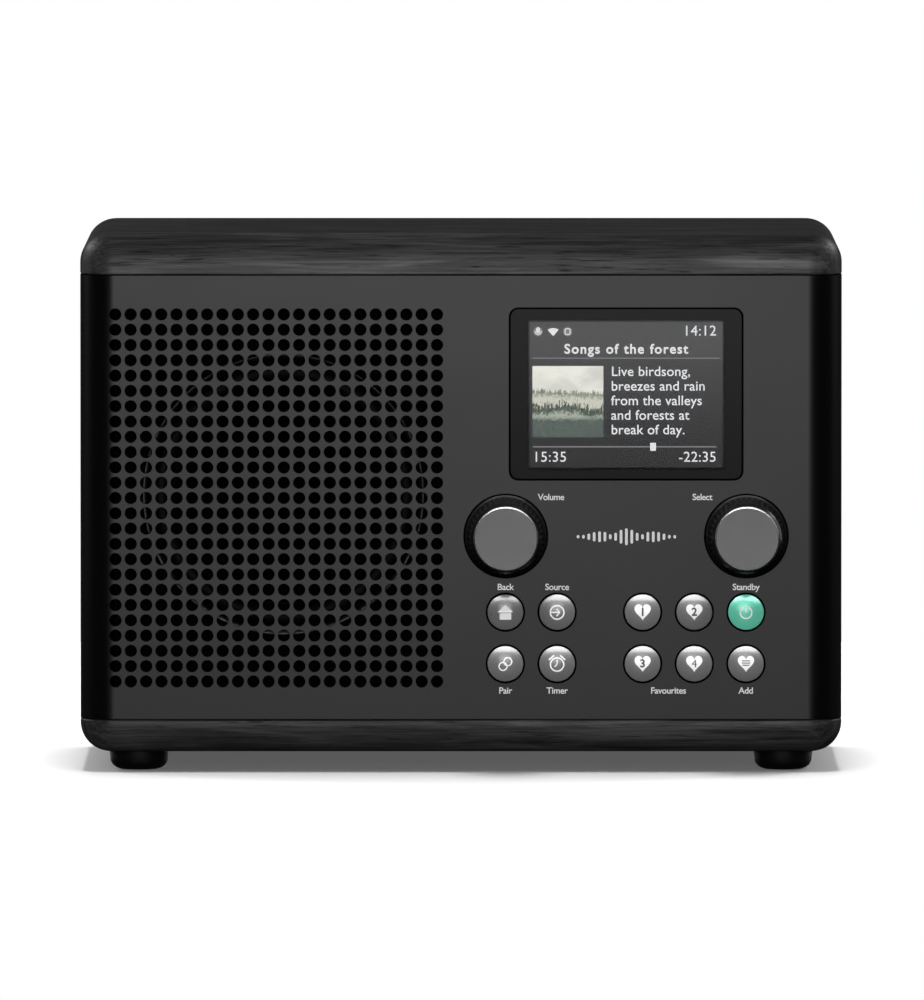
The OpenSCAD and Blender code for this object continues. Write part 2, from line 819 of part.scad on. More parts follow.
// Swivelling fork with its stem, and the tilt pin through both ears
module aerial_yoke() {
    ear_in = 2.6;
    ear_out = 4.6;
    base_back = body_d + 3.4;
    pin_r = 1.2;
    color("#b9bbbe") {
        difference() {
            union() {
                turned(aerial_x, aerial_z) {
                    ring(0, 4, rear_in - 5.4, rear_in - 2.6);
                    ring(0, 2.54, rear_in - 3, body_d + 2);
                    ring(0, 6, body_d + 1.4, base_back);
                }
                for (side = [-1, 1]) translate([aerial_x, 0, aerial_z + side * (ear_in + ear_out) / 2]) {
                    translate([0, pivot_y, 0]) cylinder(r = ear_r, h = ear_out - ear_in, center = true);
                    translate([-ear_r, front_y + base_back - eps, (ear_in - ear_out) / 2])
                        cube([2 * ear_r, pivot_back - 3.4 + eps, ear_out - ear_in]);
                }
            }
            translate([aerial_x, pivot_y, aerial_z]) cylinder(r = pin_r, h = 20, center = true);
        }
        translate([aerial_x, pivot_y, aerial_z]) cylinder(r = pin_r, h = 2 * ear_out + 0.4, center = true);
    }
}

// Section i of the mast: a tube, or the solid last rod with its tip
module aerial_tube(i) {
    last = i == 3;
    inner_end = i == 0 ? tube_start : tube_start + 3;
    color("#c6c8ca") {
        translate([aerial_x, pivot_y, aerial_z]) rotate([0, -90, 0]) difference() {
            translate([0, 0, inner_end]) cylinder(r = section_r(i), h = section_end(i) - inner_end);
            if (!last) translate([0, 0, tube_start + 2.6])
                cylinder(r = section_r(i) - tube_wall, h = section_end(i));
        }
        if (last) translate([aerial_x, pivot_y, aerial_z]) rotate([0, -90, 0])
            translate([0, 0, section_end(i)]) cylinder(r = mast_r - 0.1, h = 4.5);
        if (i == 0) mast_tongue();
    }
}

// Flat tongue of the outer tube, between the yoke's ears
module mast_tongue() {
    tongue_t = 4.8;
    tongue_r = 2.9;
    translate([aerial_x, pivot_y, aerial_z]) difference() {
        union() {
            cylinder(r = tongue_r, h = tongue_t, center = true);
            translate([-tube_start - eps, -tongue_r + 0.4, -tongue_t / 2 + 0.6])
                cube([tube_start + eps, 2 * tongue_r - 0.8, tongue_t - 1.2]);
        }
        cylinder(r = 1.25, h = 2 * tongue_t, center = true);
    }
}

// ---------- Screws ----------

module rear_screws() {
    color("#2c2c2e") for (x = rear_columns, z = rear_rows)
        screw_along(x, z, wide_screw_r, body_d - head_seat, 10, false);
}

// Eight screws through the chassis flanges into the wood panels
module panel_screws() {
    head_t = 1.6;
    head_r = 2.2 * wide_screw_r;
    upper = lid_z - chassis_flange;
    lower = base_z + chassis_flange;
    color("#a9abad") for (p = panel_points) translate([p[0], front_y + p[1], 0]) {
        translate([0, 0, upper]) cylinder(r = wide_screw_r, h = panel_bite + 1);
        translate([0, 0, upper - head_t]) cylinder(r = head_r, h = head_t);
        translate([0, 0, lower - panel_bite]) cylinder(r = wide_screw_r, h = panel_bite);
        translate([0, 0, lower]) cylinder(r = head_r, h = head_t);
    }
}

module board_screws() {
    color("#a9abad") {
        for (p = board_points) screw_along(p[0], p[1], screw_r, board_back, 6, false);
        for (p = main_points) screw_along(p[0], p[1], screw_r, main_front, 8, true);
    }
}

top_panel();
bottom_panel();
front_shell();
front_chassis();
rear_cover();
foot(-foot_x, foot_inset);  // foot_front_left
foot(foot_x, foot_inset);  // foot_front_right
foot(-foot_x, body_d - foot_inset);  // foot_rear_left
foot(foot_x, body_d - foot_inset);  // foot_rear_right
display_lens();
lcd_panel();
button(left_columns[0], button_rows[0], "#4a4b4d");  // button_back
button(left_columns[1], button_rows[0], "#4a4b4d");  // button_source
button(left_columns[0], button_rows[1], "#4a4b4d");  // button_pair
button(left_columns[1], button_rows[1], "#4a4b4d");  // button_timer
button(right_columns[0], button_rows[0], "#4a4b4d");  // button_preset_1
button(right_columns[1], button_rows[0], "#4a4b4d");  // button_preset_2
button(right_columns[0], button_rows[1], "#4a4b4d");  // button_preset_3
button(right_columns[1], button_rows[1], "#4a4b4d");  // button_preset_4
button(right_columns[2], button_rows[0], "#65b29b");  // button_standby
button(right_columns[2], button_rows[1], "#4a4b4d");  // button_add
keypad_mat();
control_board();
encoder(volume_x);  // volume_encoder
plunger(volume_x);  // volume_plunger
dial_shaft(volume_x);  // volume_shaft
dial_knob(volume_x);  // volume_knob
dial_cap(volume_x);  // volume_knob_cap
encoder(select_x);  // select_encoder
plunger(select_x);  // select_plunger
dial_shaft(select_x);  // select_shaft
dial_knob(select_x);  // select_knob
dial_cap(select_x);  // select_knob_cap
speaker_frame();
speaker_magnet();
speaker_surround();
speaker_spider();
speaker_cone();
speaker_dust_cap();
speaker_voice_coil();
speaker_gasket();
speaker_screws();
speaker_lead();
main_board();
radio_module();
dc_jack();
phone_jack(headphone_at, "#161616");  // headphone_jack
phone_jack(aux_at, "#20303c");  // aux_jack
usb_port();
ribbon_cable();
aerial_lead();
aerial_socket();
aerial_yoke();
aerial_tube(0);  // aerial_tube_1
aerial_tube(1);  // aerial_tube_2
aerial_tube(2);  // aerial_tube_3
aerial_tube(3);  // aerial_tube_4
rear_screws();
panel_screws();
board_screws();
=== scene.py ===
"""Tabletop radio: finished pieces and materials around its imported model."""

import json
import math

import bmesh
import bpy
import numpy as np
from bpy.props import FloatProperty, FloatVectorProperty, IntProperty, PointerProperty, StringProperty
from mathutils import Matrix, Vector
from mathutils.geometry import delaunay_2d_cdt


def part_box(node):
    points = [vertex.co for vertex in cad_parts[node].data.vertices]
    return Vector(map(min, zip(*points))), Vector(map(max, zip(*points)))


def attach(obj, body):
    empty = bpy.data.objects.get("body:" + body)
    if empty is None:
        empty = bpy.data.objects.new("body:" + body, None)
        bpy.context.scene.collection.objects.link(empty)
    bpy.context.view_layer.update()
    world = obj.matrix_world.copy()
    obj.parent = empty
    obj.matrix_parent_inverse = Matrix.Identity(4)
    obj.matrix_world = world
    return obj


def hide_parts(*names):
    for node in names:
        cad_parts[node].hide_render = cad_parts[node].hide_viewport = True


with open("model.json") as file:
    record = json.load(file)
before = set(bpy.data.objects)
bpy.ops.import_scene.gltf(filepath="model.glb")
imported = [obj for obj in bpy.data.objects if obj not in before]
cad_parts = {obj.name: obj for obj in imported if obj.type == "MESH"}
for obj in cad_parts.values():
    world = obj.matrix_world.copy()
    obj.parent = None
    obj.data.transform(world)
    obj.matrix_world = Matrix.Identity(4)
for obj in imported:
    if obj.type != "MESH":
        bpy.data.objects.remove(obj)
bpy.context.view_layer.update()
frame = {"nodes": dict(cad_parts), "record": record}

bl_info = {
    "name": "Tabletop Radio",
    "version": (1, 0, 0),
    "blender": (4, 5, 0),
    "location": "View3D > Sidebar > Radio",
    "description": "Builds a tabletop radio's finished pieces around its packed model",
    "category": "Object",
}

MM = 0.001
NODES = frame["nodes"]
GREY_BUTTONS = ("back", "source", "pair", "timer", "preset_1", "preset_2", "preset_3", "preset_4", "add")
DIALS = ("volume", "select")

SHELL_LOW, SHELL_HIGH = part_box("front_shell")
COVER_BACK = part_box("rear_cover")[1].y
TOP_LOW, TOP_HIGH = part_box("top_panel")
BASE_LOW, BASE_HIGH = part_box("bottom_panel")
FRONT = SHELL_LOW.y
HOLLOW = 6.8 * MM                           # radius of the room behind a dial
WINDOW_CORNER = 2.8 * MM                    # corner radius of the window's opening
GRILLE_SIDES = 20                           # sides of a grille hole's outline


def middle(node):
    low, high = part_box(node)
    return (low + high) / 2


# ---------------------------------------------------------------- shader maths


class Value:
    """A shader socket that holds a number, with Python's operators as Math nodes."""

    def __init__(self, paint, socket):
        self.paint = paint
        self.socket = socket

    def math(self, operation, *others):
        return self.paint.node("ShaderNodeMath", {"operation": operation}, [self, *others])

    def __add__(self, other):
        return self.math("ADD", other)

    def __sub__(self, other):
        return self.math("SUBTRACT", other)

    def __rsub__(self, other):
        return self.math("MULTIPLY", -1.0).math("ADD", other)

    def __mul__(self, other):
        return self.math("MULTIPLY", other)

    def __truediv__(self, other):
        return self.math("DIVIDE", other)

    def __pow__(self, other):
        return self.math("POWER", other)

    def __abs__(self):
        return self.math("ABSOLUTE")

    __radd__ = __add__
    __rmul__ = __mul__

    def least(self, other):
        return self.math("MINIMUM", other)

    def most(self, other):
        return self.math("MAXIMUM", other)

    def ramp(self, low, high, to_low=0.0, to_high=1.0):
        """Smooth step from to_low at low to to_high at high."""
        return self.paint.node(
            "ShaderNodeMapRange",
            {"interpolation_type": "SMOOTHSTEP"},
            {"Value": self, "From Min": low, "From Max": high, "To Min": to_low, "To Max": to_high},
            "Result",
        )


class Paint:
    """One material's node tree."""

    def __init__(self, name):
        self.material = bpy.data.materials.new(name)
        self.material.use_nodes = True
        self.tree = self.material.node_tree
        self.tree.nodes.clear()
        self.output = self.tree.nodes.new("ShaderNodeOutputMaterial")
        self.places = None

    def put(self, socket, value):
        """Links a socket, or writes a plain number or colour on it."""
        if isinstance(value, Value):
            value = value.socket
        if isinstance(value, bpy.types.NodeSocket):
            self.tree.links.new(value, socket)
        elif hasattr(value, "__len__") and socket.type == "RGBA":
            socket.default_value = (*value[:3], 1.0)
        else:
            socket.default_value = value

    def node(self, kind, settings=(), inputs=(), output=0):
        """A node of a type, with its settings made first and its sockets filled after."""
        made = self.tree.nodes.new(kind)
        for key, setting in dict(settings).items():
            if key == "stops":
                ramp = made.color_ramp
                while len(ramp.elements) < len(setting):
                    ramp.elements.new(1.0)
                for element, (at, colour) in zip(ramp.elements, setting):
                    element.position = at
                    element.color = (*colour, 1.0)
            else:
                setattr(made, key, setting)
        pairs = enumerate(inputs) if isinstance(inputs, (list, tuple)) else inputs.items()
        for key, value in pairs:
            self.put(made.inputs[key], value)
        return Value(self, made.outputs[output])

    def place(self):
        """The piece's own coordinates, in metres."""
        if self.places is None:
            self.places = self.node("ShaderNodeTexCoord", output="Object")
        return self.places

    def scaled(self, scale):
        return self.node("ShaderNodeVectorMath", {"operation": "MULTIPLY"}, [self.place(), scale])

    def axis(self, letter):
        return self.node("ShaderNodeSeparateXYZ", (), [self.place()], letter.upper())

    def noise(self, scale, detail=3.0, rough=0.55, warp=0.0, vector=None):
        source = self.place() if vector is None else vector
        return self.node(
            "ShaderNodeTexNoise",
            (),
            {"Vector": source, "Scale": scale, "Detail": detail, "Roughness": rough, "Distortion": warp},
            "Fac",
        )

    def blend(self, factor, first, second):
        """Colour between two colours."""
        made = self.tree.nodes.new("ShaderNodeMix")
        made.data_type = "RGBA"
        for key, value in ((0, factor), (6, first), (7, second)):
            self.put(made.inputs[key], value)
        return Value(self, made.outputs[2])

    def bump(self, height, strength, distance):
        return self.node(
            "ShaderNodeBump", (), {"Height": height, "Strength": strength, "Distance": distance}, "Normal"
        )

    def shader(self, **sockets):
        """A Principled surface; socket names are written with underscores."""
        inputs = {
            key.replace("_", " ").title().replace("Ior", "IOR"): value for key, value in sockets.items()
        }
        return self.node("ShaderNodeBsdfPrincipled", (), inputs, "BSDF")

    def mix_shaders(self, factor, first, second):
        return self.node("ShaderNodeMixShader", (), [factor, first, second])

    def done(self, surface):
        self.put(self.output.inputs["Surface"], surface)
        return self.material


# ------------------------------------------------------------------- materials


def stained_wood(name, seed):
    """Black-stained boards: growth rings with a flame figure, fine dark pores, and a dull sheen. The grain
    runs along X, and down over the ends."""
    p = Paint(name)

    def figure(along, across):
        """Light and dark of the grain, and its pores, for the scales along and across a board."""
        def stretched(long, short):
            return p.scaled(tuple(long * a + short * c for a, c in zip(along, across)))

        drift = p.noise(1.0, 2.0, 0.5, vector=stretched(7.0, 30.0))
        flame = p.noise(1.0, 4.0, 0.55, 1.6, stretched(11.0 + seed, 150.0 + 3.0 * seed))
        fibres = p.noise(1.0, 4.0, 0.7, 0.4, stretched(34.0, 1300.0))
        rings = ((flame * 7.0 + drift * 4.0).math("SINE") * 0.5 + 0.5) ** 1.6
        light = (rings * 0.32 + (fibres - 0.5) * 1.4 + (flame - 0.5) * 0.8 + 0.32).ramp(0.0, 0.9)
        return light, p.noise(1.0, 2.0, 0.6, 0.2, stretched(70.0, 1500.0)).ramp(0.6, 0.7)

    normal = p.node("ShaderNodeNewGeometry", output="Normal")
    end = abs(p.node("ShaderNodeSeparateXYZ", (), [normal], "X")).ramp(0.6, 0.92)
    light, pores = figure((1, 0, 0), (0, 1, 1))
    end_light, end_pores = figure((1, 0, 1), (0, 1, 0))
    light = light + (end_light - light) * end
    pores = pores + (end_pores - pores) * end
    colour = p.blend(light, (0.022, 0.022, 0.0222), (0.114, 0.113, 0.112))
    colour = p.blend(pores * 0.7, colour, (0.003, 0.003, 0.003))
    rough = light * -0.12 + pores * 0.2 + 0.47
    return p.done(p.shader(
        base_color=colour, roughness=rough, specular_ior_level=0.3,
        normal=p.bump(light * 1.1 - pores * 0.8, 0.4, 0.00012),
    ))


def powder_coat(name, colour):
    """Fine matt powder coat: sand-grain speckle in colour, roughness and relief, worn a little at cut
    edges."""
    p = Paint(name)
    grain = p.noise(5200.0, 2.0, 0.6)
    cloud = p.noise(38.0, 3.0)
    edge = p.node("ShaderNodeNewGeometry", output="Pointiness").ramp(0.53, 0.62)
    dark = tuple(0.78 * c for c in colour)
    light = tuple(1.22 * c for c in colour)
    tint = p.blend(grain.ramp(0.3, 0.7), dark, light)
    tint = p.blend(edge * 0.3, tint, tuple(2.2 * c for c in colour))
    rough = grain * 0.08 + cloud * 0.04 + 0.24
    return p.done(p.shader(
        base_color=tint, roughness=rough, specular_ior_level=0.5, normal=p.bump(grain, 0.05, 0.00004),
    ))


def moulded(name, colour, rough=0.5, grain=1400.0, relief=0.25, gloss=0.5):
    """Moulded plastic or rubber with a spark-eroded skin and faint flow marks."""
    p = Paint(name)
    skin = p.noise(grain, 3.0, 0.6)
    flow = p.noise(60.0, 3.0, 0.55, 0.8)
    pits = p.node("ShaderNodeTexVoronoi", (), {"Vector": p.place(), "Scale": grain * 0.7}, "Distance")
    tint = p.blend(flow, tuple(0.8 * c for c in colour), tuple(1.25 * c for c in colour))
    shine = (flow - 0.5) * 0.12 + skin * 0.08 + (rough - 0.04)
    return p.done(p.shader(
        base_color=tint, roughness=shine, specular_ior_level=gloss,
        normal=p.bump(skin + pits * 0.5, relief, 0.00008),
    ))


def button_gloss(name, colour):
    """Smooth satin-metallic button plastic: fine flakes, faint finger haze and a lacquer coat; below the
    sleeve's face the skirt is bare and black."""
    p = Paint(name)
    flakes = p.noise(9000.0, 1.0)
    haze = p.noise(420.0, 3.0, 0.6, 0.6)
    bare = p.axis("Y").ramp(FRONT - 0.1 * MM, FRONT + 0.15 * MM)
    tint = p.blend(flakes.ramp(0.35, 0.65), tuple(0.88 * c for c in colour), tuple(1.15 * c for c in colour))
    tint = p.blend(bare, tint, (0.001, 0.001, 0.001))
    return p.done(p.shader(
        base_color=tint, metallic=bare * 0.6 + 0.4, roughness=haze * 0.05 + bare * 0.6 + 0.26,
        coat_weight=1 - bare, coat_roughness=0.12, normal=p.bump(flakes, 0.03, 0.00002),
    ))


def turned_metal(name, colour, rough, ring=None, blast=0.0, cut=1.0):
    """Machined or plated metal: ring = scale of fine turning lines along X, blast = depth of bead blasting,
    cut = Y beyond which a bright cut bares the metal."""
    p = Paint(name)
    speck = p.noise(3600.0, 3.0, 0.8).ramp(0.3, 0.7)
    smear = p.noise(90.0, 3.0, 0.6, 0.4)
    lines = p.noise(ring, 2.0, 0.5, vector=p.scaled((1.0, 0.02, 0.02))) if ring else speck
    dull = tuple(0.86 * c for c in colour)
    bright = tuple(min(1.0, 1.12 * c) for c in colour)
    tint = p.blend(speck * 0.6 + smear * 0.4, dull, bright)
    bare = p.axis("Y").ramp(cut, cut + 0.05 * MM)
    tint = p.blend(bare, tint, (0.66, 0.66, 0.66))
    shine = speck * 0.08 + (smear - 0.5) * 0.1 + rough - bare * 0.18
    return p.done(p.shader(
        base_color=tint, metallic=1.0, roughness=shine, normal=p.bump(lines, 0.08 + blast, 0.00005),
    ))


def cone_pulp(name, colour):
    """Pressed pulp: matted fibres with tiny slubs."""
    p = Paint(name)
    fibres = p.noise(900.0, 4.0, 0.7, 2.5)
    slubs = p.noise(260.0, 2.0).ramp(0.6, 0.75)
    tint = p.blend(fibres, tuple(0.6 * c for c in colour), tuple(1.5 * c for c in colour))
    return p.done(p.shader(
        base_color=tint, roughness=fibres * 0.2 + 0.6, specular_ior_level=0.08,
        normal=p.bump(fibres + slubs * 0.6, 0.4, 0.00012),
    ))


def woven_cloth(name, colour):
    """Resin-dipped plain weave, two thread directions crossing."""
    p = Paint(name)
    warp = p.node("ShaderNodeTexWave", {"bands_direction": "X"}, {"Vector": p.place(), "Scale": 420.0}, "Fac")
    weft = p.node("ShaderNodeTexWave", {"bands_direction": "Z"}, {"Vector": p.place(), "Scale": 420.0}, "Fac")
    over = warp.most(weft)
    tint = p.blend(over, tuple(0.5 * c for c in colour), colour)
    return p.done(p.shader(base_color=tint, roughness=over * -0.15 + 0.8, normal=p.bump(over, 0.5, 0.0002)))


def circuit_board(name, colour):
    """Green solder mask over tracks on a square grid, with tinned pads."""
    p = Paint(name)
    cells = {"Vector": p.place(), "Scale": 260.0, "Randomness": 0.0}
    grid = p.node("ShaderNodeTexVoronoi", {"distance": "CHEBYCHEV"}, cells, "Distance")
    routes = p.noise(150.0, 1.0, 0.4)
    tracks = grid.ramp(0.3, 0.36) * routes.ramp(0.48, 0.52)
    pads = grid.ramp(0.16, 0.12) * routes.ramp(0.56, 0.52)
    tint = p.blend(tracks, colour, tuple(1.9 * c for c in colour))
    tint = p.blend(pads, tint, (0.55, 0.55, 0.52))
    return p.done(p.shader(
        base_color=tint, metallic=pads * 0.8, roughness=pads * -0.1 + 0.38,
        normal=p.bump(tracks + pads, 0.3, 0.00006),
    ))


def striped_film(name, colour):
    """Flat cable film with its tinned conductors showing through."""
    p = Paint(name)
    wires = p.node("ShaderNodeTexWave", {"bands_direction": "X"},
                   {"Vector": p.place(), "Scale": 320.0}, "Fac")
    mask = wires.ramp(0.4, 0.6)
    tint = p.blend(mask, colour, (0.62, 0.6, 0.55))
    return p.done(p.shader(base_color=tint, roughness=mask * -0.15 + 0.45, normal=p.bump(mask, 0.2, 0.00008)))


def print_ink(name, colour, glow=0.0):
    """Screen-printed ink with a slightly uneven film. Glow, where given, makes the ink give light: on the
    display that is the screen's own light, on the sleeve's labels it is painted light.
    """
    p = Paint(name)
    film = p.noise(3600.0, 2.0, 0.6)
    tint = p.blend(film.ramp(0.25, 0.75), tuple(0.85 * c for c in colour), colour)
    return p.done(p.shader(
        base_color=tint, roughness=film * 0.2 + 0.45, emission_color=tint, emission_strength=glow,
    ))


def window_gloss(name, lit):
    """Polished smoked window: black print round a clear field that lets the picture through. The print's
    colour is painted lighter towards the top: painted light, falling off down the window.
    """
    p = Paint(name)
    low, high, soft = lit
    across, up = p.axis("X"), p.axis("Z")
    inside = across.ramp(low.x - soft, low.x) * across.ramp(high.x + soft, high.x)
    inside = inside * up.ramp(low.z - soft, low.z) * up.ramp(high.z + soft, high.z)
    haze = p.noise(70.0, 3.0, 0.6, 0.5)
    # painted light: depth makes the print's colour run from darker at the bottom to lighter at the top, as if
    # lit from above
    depth = up.ramp(low.z - 0.004, high.z + 0.004)
    tint = p.blend(depth, (0.004, 0.004, 0.0042), (0.012, 0.012, 0.0123))
    printed = p.shader(base_color=tint, roughness=haze * 0.04 + 0.12, specular_ior_level=0.11)
    clear = p.node("ShaderNodeBsdfTransparent", (), {"Color": (0.93, 0.93, 0.94)})
    gleam = p.node("ShaderNodeBsdfGlossy", (), {"Roughness": 0.08})
    pane = p.mix_shaders(0.006, clear, gleam)
    return p.done(p.mix_shaders(inside, printed, pane))


def lit_background(name, low, high, glow):
    """Display backlight: grey that falls off downwards, brighter in the title band, with a fine cell
    pattern."""
    p = Paint(name)
    up = p.axis("Z")
    height = high - low
    fall = up.ramp(low, high)
    band = up.ramp(high - 0.27 * height, high - 0.25 * height)
    cells = p.noise(9000.0, 1.0)
    level = fall * 0.042 + band * 0.016 + cells * 0.005 + 0.016
    tint = p.blend(level, (0.0, 0.0, 0.0), (1.0, 1.0, 1.0))
    return p.done(p.shader(base_color=(0.01, 0.01, 0.01), roughness=cells * 0.1 + 0.5,
                           emission_color=tint, emission_strength=glow))


def misty_hills(name, low, high, glow):
    """A hillside view: pale clouded sky, two spiky treelines that sink into mist, dark forest below."""
    p = Paint(name)
    level = (p.axis("Z") - low.z) / (high.z - low.z)
    clouds = p.noise(90.0, 4.0, 0.6, 0.6, p.scaled((0.6, 1.0, 1.0)))
    spikes = p.noise(1.0, 3.0, 0.75, vector=p.scaled((1900.0, 1.0, 420.0)))
    crowns = p.noise(1300.0, 3.0, 0.7)
    view = p.blend(clouds.ramp(0.3, 0.55), (0.7, 0.7, 0.63), (0.93, 0.92, 0.82))
    lines = ((0.6, 0.05, 0.1, 45.0, (0.13, 0.15, 0.11), (0.66, 0.66, 0.55)),
             (0.4, 0.12, 0.16, 110.0, (0.035, 0.05, 0.036), (0.42, 0.46, 0.38)))
    for height, roll, reach, run, wood, mist in lines:
        drift = p.noise(run, 2.0, 0.5, vector=p.scaled((1.0, 1.0, 0.05)))
        above = level - (drift - 0.5) * roll * 3 - height
        trees = ((spikes - 0.46) * reach * 3.2 - above).ramp(-0.006, 0.006)
        thick = (above + reach * 0.7 + (crowns - 0.5) * 0.3).ramp(-0.02, 0.05)
        leaves = p.blend(crowns.ramp(0.38, 0.62), wood, tuple(2.6 * c for c in wood))
        view = p.blend(trees, view, p.blend(thick, mist, leaves))
    floor_wood = p.blend(crowns.ramp(0.3, 0.7), (0.06, 0.085, 0.07), (0.13, 0.16, 0.14))
    view = p.blend((level + (crowns - 0.5) * 0.12).ramp(0.3, 0.22), view, floor_wood)
    return p.done(p.shader(base_color=(0.01, 0.01, 0.01), roughness=clouds * 0.1 + 0.5,
                           emission_color=view, emission_strength=glow))


def backdrop(name, colour, glow):
    """Seamless paper with a faint tooth, lit a little from below."""
    p = Paint(name)
    tooth = p.noise(700.0, 2.0)
    tint = p.blend(tooth, tuple(0.985 * c for c in colour), colour)
    return p.done(p.shader(base_color=tint, roughness=tooth * 0.1 + 0.85, specular_ior_level=0.1,
                           emission_color=tint, emission_strength=glow))


def graded_light(name, heights, levels, fade=(2.0, 3.0), sides=(2.0, 3.0)):
    """Light panel whose glow changes evenly between two heights; it fades out between two more, and between
    two distances to either side of the middle."""
    p = Paint(name)
    up = p.axis("Z")
    level = up.ramp(*heights, *levels) * up.ramp(*fade, 1.0, 0.0) * abs(p.axis("X")).ramp(*sides, 1.0, 0.0)
    glow = p.node("ShaderNodeEmission", (), {"Color": level, "Strength": 1.0})
    return p.done(glow)


# ---------------------------------------------------------------- mesh helpers


def finish_mesh(piece, smooth_angle=35.0, weld=1e-7):
    """Welds seams and poles, turns faces outwards, and keeps edges sharper than the angle crisp."""
    shape = bmesh.new()
    shape.from_mesh(piece.data)
    bmesh.ops.remove_doubles(shape, verts=shape.verts, dist=weld)
    bmesh.ops.recalc_face_normals(shape, faces=shape.faces)
    shape.to_mesh(piece.data)
    shape.free()
    piece.data.shade_smooth()
    piece.data.set_sharp_from_angle(angle=math.radians(smooth_angle))
    return piece


def new_piece(name, points, faces):
    mesh = bpy.data.meshes.new(name)
    mesh.from_pydata(np.asarray(points, float).reshape(-1, 3).tolist(), [], faces)
    mesh.update()
    piece = bpy.data.objects.new(name, mesh)
    bpy.context.scene.collection.objects.link(piece)
    return piece


def grid_faces(rows, columns, wrap=True):
    """Quads between neighbouring rows of a grid of points; wrap joins the last column to the first."""
    i = np.arange(rows - 1)[:, None] * columns
    j = np.arange(columns if wrap else columns - 1)[None, :]
    k = (j + 1) % columns
    return np.stack([i + j, i + k, i + columns + k, i + columns + j], -1).reshape(-1, 4).tolist()


def lofted(name, rings, caps=True, smooth_angle=35.0):
    """Skin over rings of equal length (rings, points, 3), closed round, with a face over each end."""
    rings = np.asarray(rings, float)
    rows, columns = rings.shape[:2]
    faces = grid_faces(rows, columns)
    if caps:
        faces += [list(range(columns)), list(range((rows - 1) * columns, rows * columns))]
    return finish_mesh(new_piece(name, rings, faces), smooth_angle)


def turned(name, profile, x, z, segments=96, radius=None, smooth_angle=35.0):
    """Surface of revolution about an axis along Y: profile rows are (radius, height proud of the front face).
    radius(angle, height, r), where given, changes the radius round the turn, as for knurling."""
    profile = np.asarray(profile, float)
    angle = np.linspace(0.0, 2 * np.pi, segments, endpoint=False)[None, :]
    r = np.repeat(profile[:, :1], segments, 1)
    out = np.repeat(profile[:, 1:], segments, 1)
    if radius is not None:
        r = radius(angle, out, r)
    rings = np.stack([x + r * np.cos(angle), FRONT - out, z + r * np.sin(angle)], -1)
    return lofted(name, rings, caps=False, smooth_angle=smooth_angle)


def arc(centre, r, start, end, steps):
    """Points on a circle in the plane, from one angle in degrees to another."""
    t = np.radians(np.linspace(start, end, steps))
    return np.stack([centre[0] + r * np.cos(t), centre[1] + r * np.sin(t)], -1)


def rounded_loop(w, h, r, steps=10, centre=(0.0, 0.0)):
    """Outline of a rectangle with round corners, anticlockwise."""
    corners = [((w / 2 - r), (h / 2 - r), 0), (-(w / 2 - r), (h / 2 - r), 90),
               (-(w / 2 - r), -(h / 2 - r), 180), ((w / 2 - r), -(h / 2 - r), 270)]
    return np.concatenate([
        arc((centre[0] + cx, centre[1] + cy), max(r, 1e-6), a, a + 90, steps) for cx, cy, a in corners
    ])


def slab(name, loop, levels, smooth_angle=35.0):
    """Plate parallel to the front: loop(inset) gives its outline in x and z, and levels lists (inset,
    height proud of the front face) from back to front."""
    rings = []
    for inset, out in levels:
        outline = loop(inset)
        rings.append(np.stack([outline[:, 0], np.full(len(outline), FRONT - out), outline[:, 1]], -1))
    return lofted(name, rings, smooth_angle=smooth_angle)


def joined(name, parts):
    """One piece from several (points, faces) pairs."""
    points, faces, start = [], [], 0
    for part_points, part_faces in parts:
        points.append(np.asarray(part_points, float))
        faces += [[start + i for i in face] for face in part_faces]
        start += len(part_points)
    return new_piece(name, np.concatenate(points), faces)


def dressed(name, node, bevel=0.0, smooth_angle=30.0):
    """A welded copy of a CAD node with smooth rounds and, where asked, softened edges."""
    piece = bpy.data.objects.new(name, NODES[node].data.copy())
    bpy.context.scene.collection.objects.link(piece)
    shape = bmesh.new()
    shape.from_mesh(piece.data)
    bmesh.ops.remove_doubles(shape, verts=shape.verts, dist=2e-6)
    bmesh.ops.dissolve_limit(shape, angle_limit=math.radians(1.0), verts=shape.verts, edges=shape.edges)
    shape.to_mesh(piece.data)
    shape.free()
    piece.data.shade_smooth()
    piece.data.set_sharp_from_angle(angle=math.radians(smooth_angle))
    if bevel:
        edges = piece.modifiers.new("soft_edges", "BEVEL")
        edges.width = bevel
        edges.segments = 2
        edges.limit_method = "ANGLE"
        edges.angle_limit = math.radians(50.0)
        edges.harden_normals = False
    return flattened(piece)


def flattened(piece):
    """Leans normals to the larger faces, so that flats next to small rounds stay flat."""
    even = piece.modifiers.new("even_shading", "WEIGHTED_NORMAL")
    even.keep_sharp = True
    return piece


def settle(piece, body, material, node=None, slot=None):
    """Gives a piece its material and body, puts it in the light group that its slot picks, and hides the CAD
    nodes that it stands for.
    """
    piece.data.materials.clear()
    piece.data.materials.append(material)
    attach(piece, body)
    group = {"stained_wood": "boards", "sleeve_paint": "shell"}.get(slot, "rear")
    lit_group(group).objects.link(piece)
    if node:
        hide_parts(*([node] if isinstance(node, str) else node))
    return piece


def lit_group(name):
    """Collection of the pieces that a light is kept for."""
    return bpy.data.collections.get(name) or bpy.data.collections.new(name)


# --------------------------------------------------------------- flat drawings

CAPITAL = 0.682                             # height of a capital in the built-in lettering of size one


def filled(loops):
    """Triangles that fill closed outlines in the plane; an outline inside another is a hole."""
    curve = bpy.data.curves.new("drawing", "CURVE")
    curve.dimensions = "2D"
    curve.fill_mode = "BOTH"
    for loop in loops:
        spline = curve.splines.new("POLY")
        spline.points.add(len(loop) - 1)
        placed = np.column_stack([loop, np.zeros(len(loop)), np.ones(len(loop))])
        spline.points.foreach_set("co", placed.ravel())
        spline.use_cyclic_u = True
    return taken_mesh(curve)


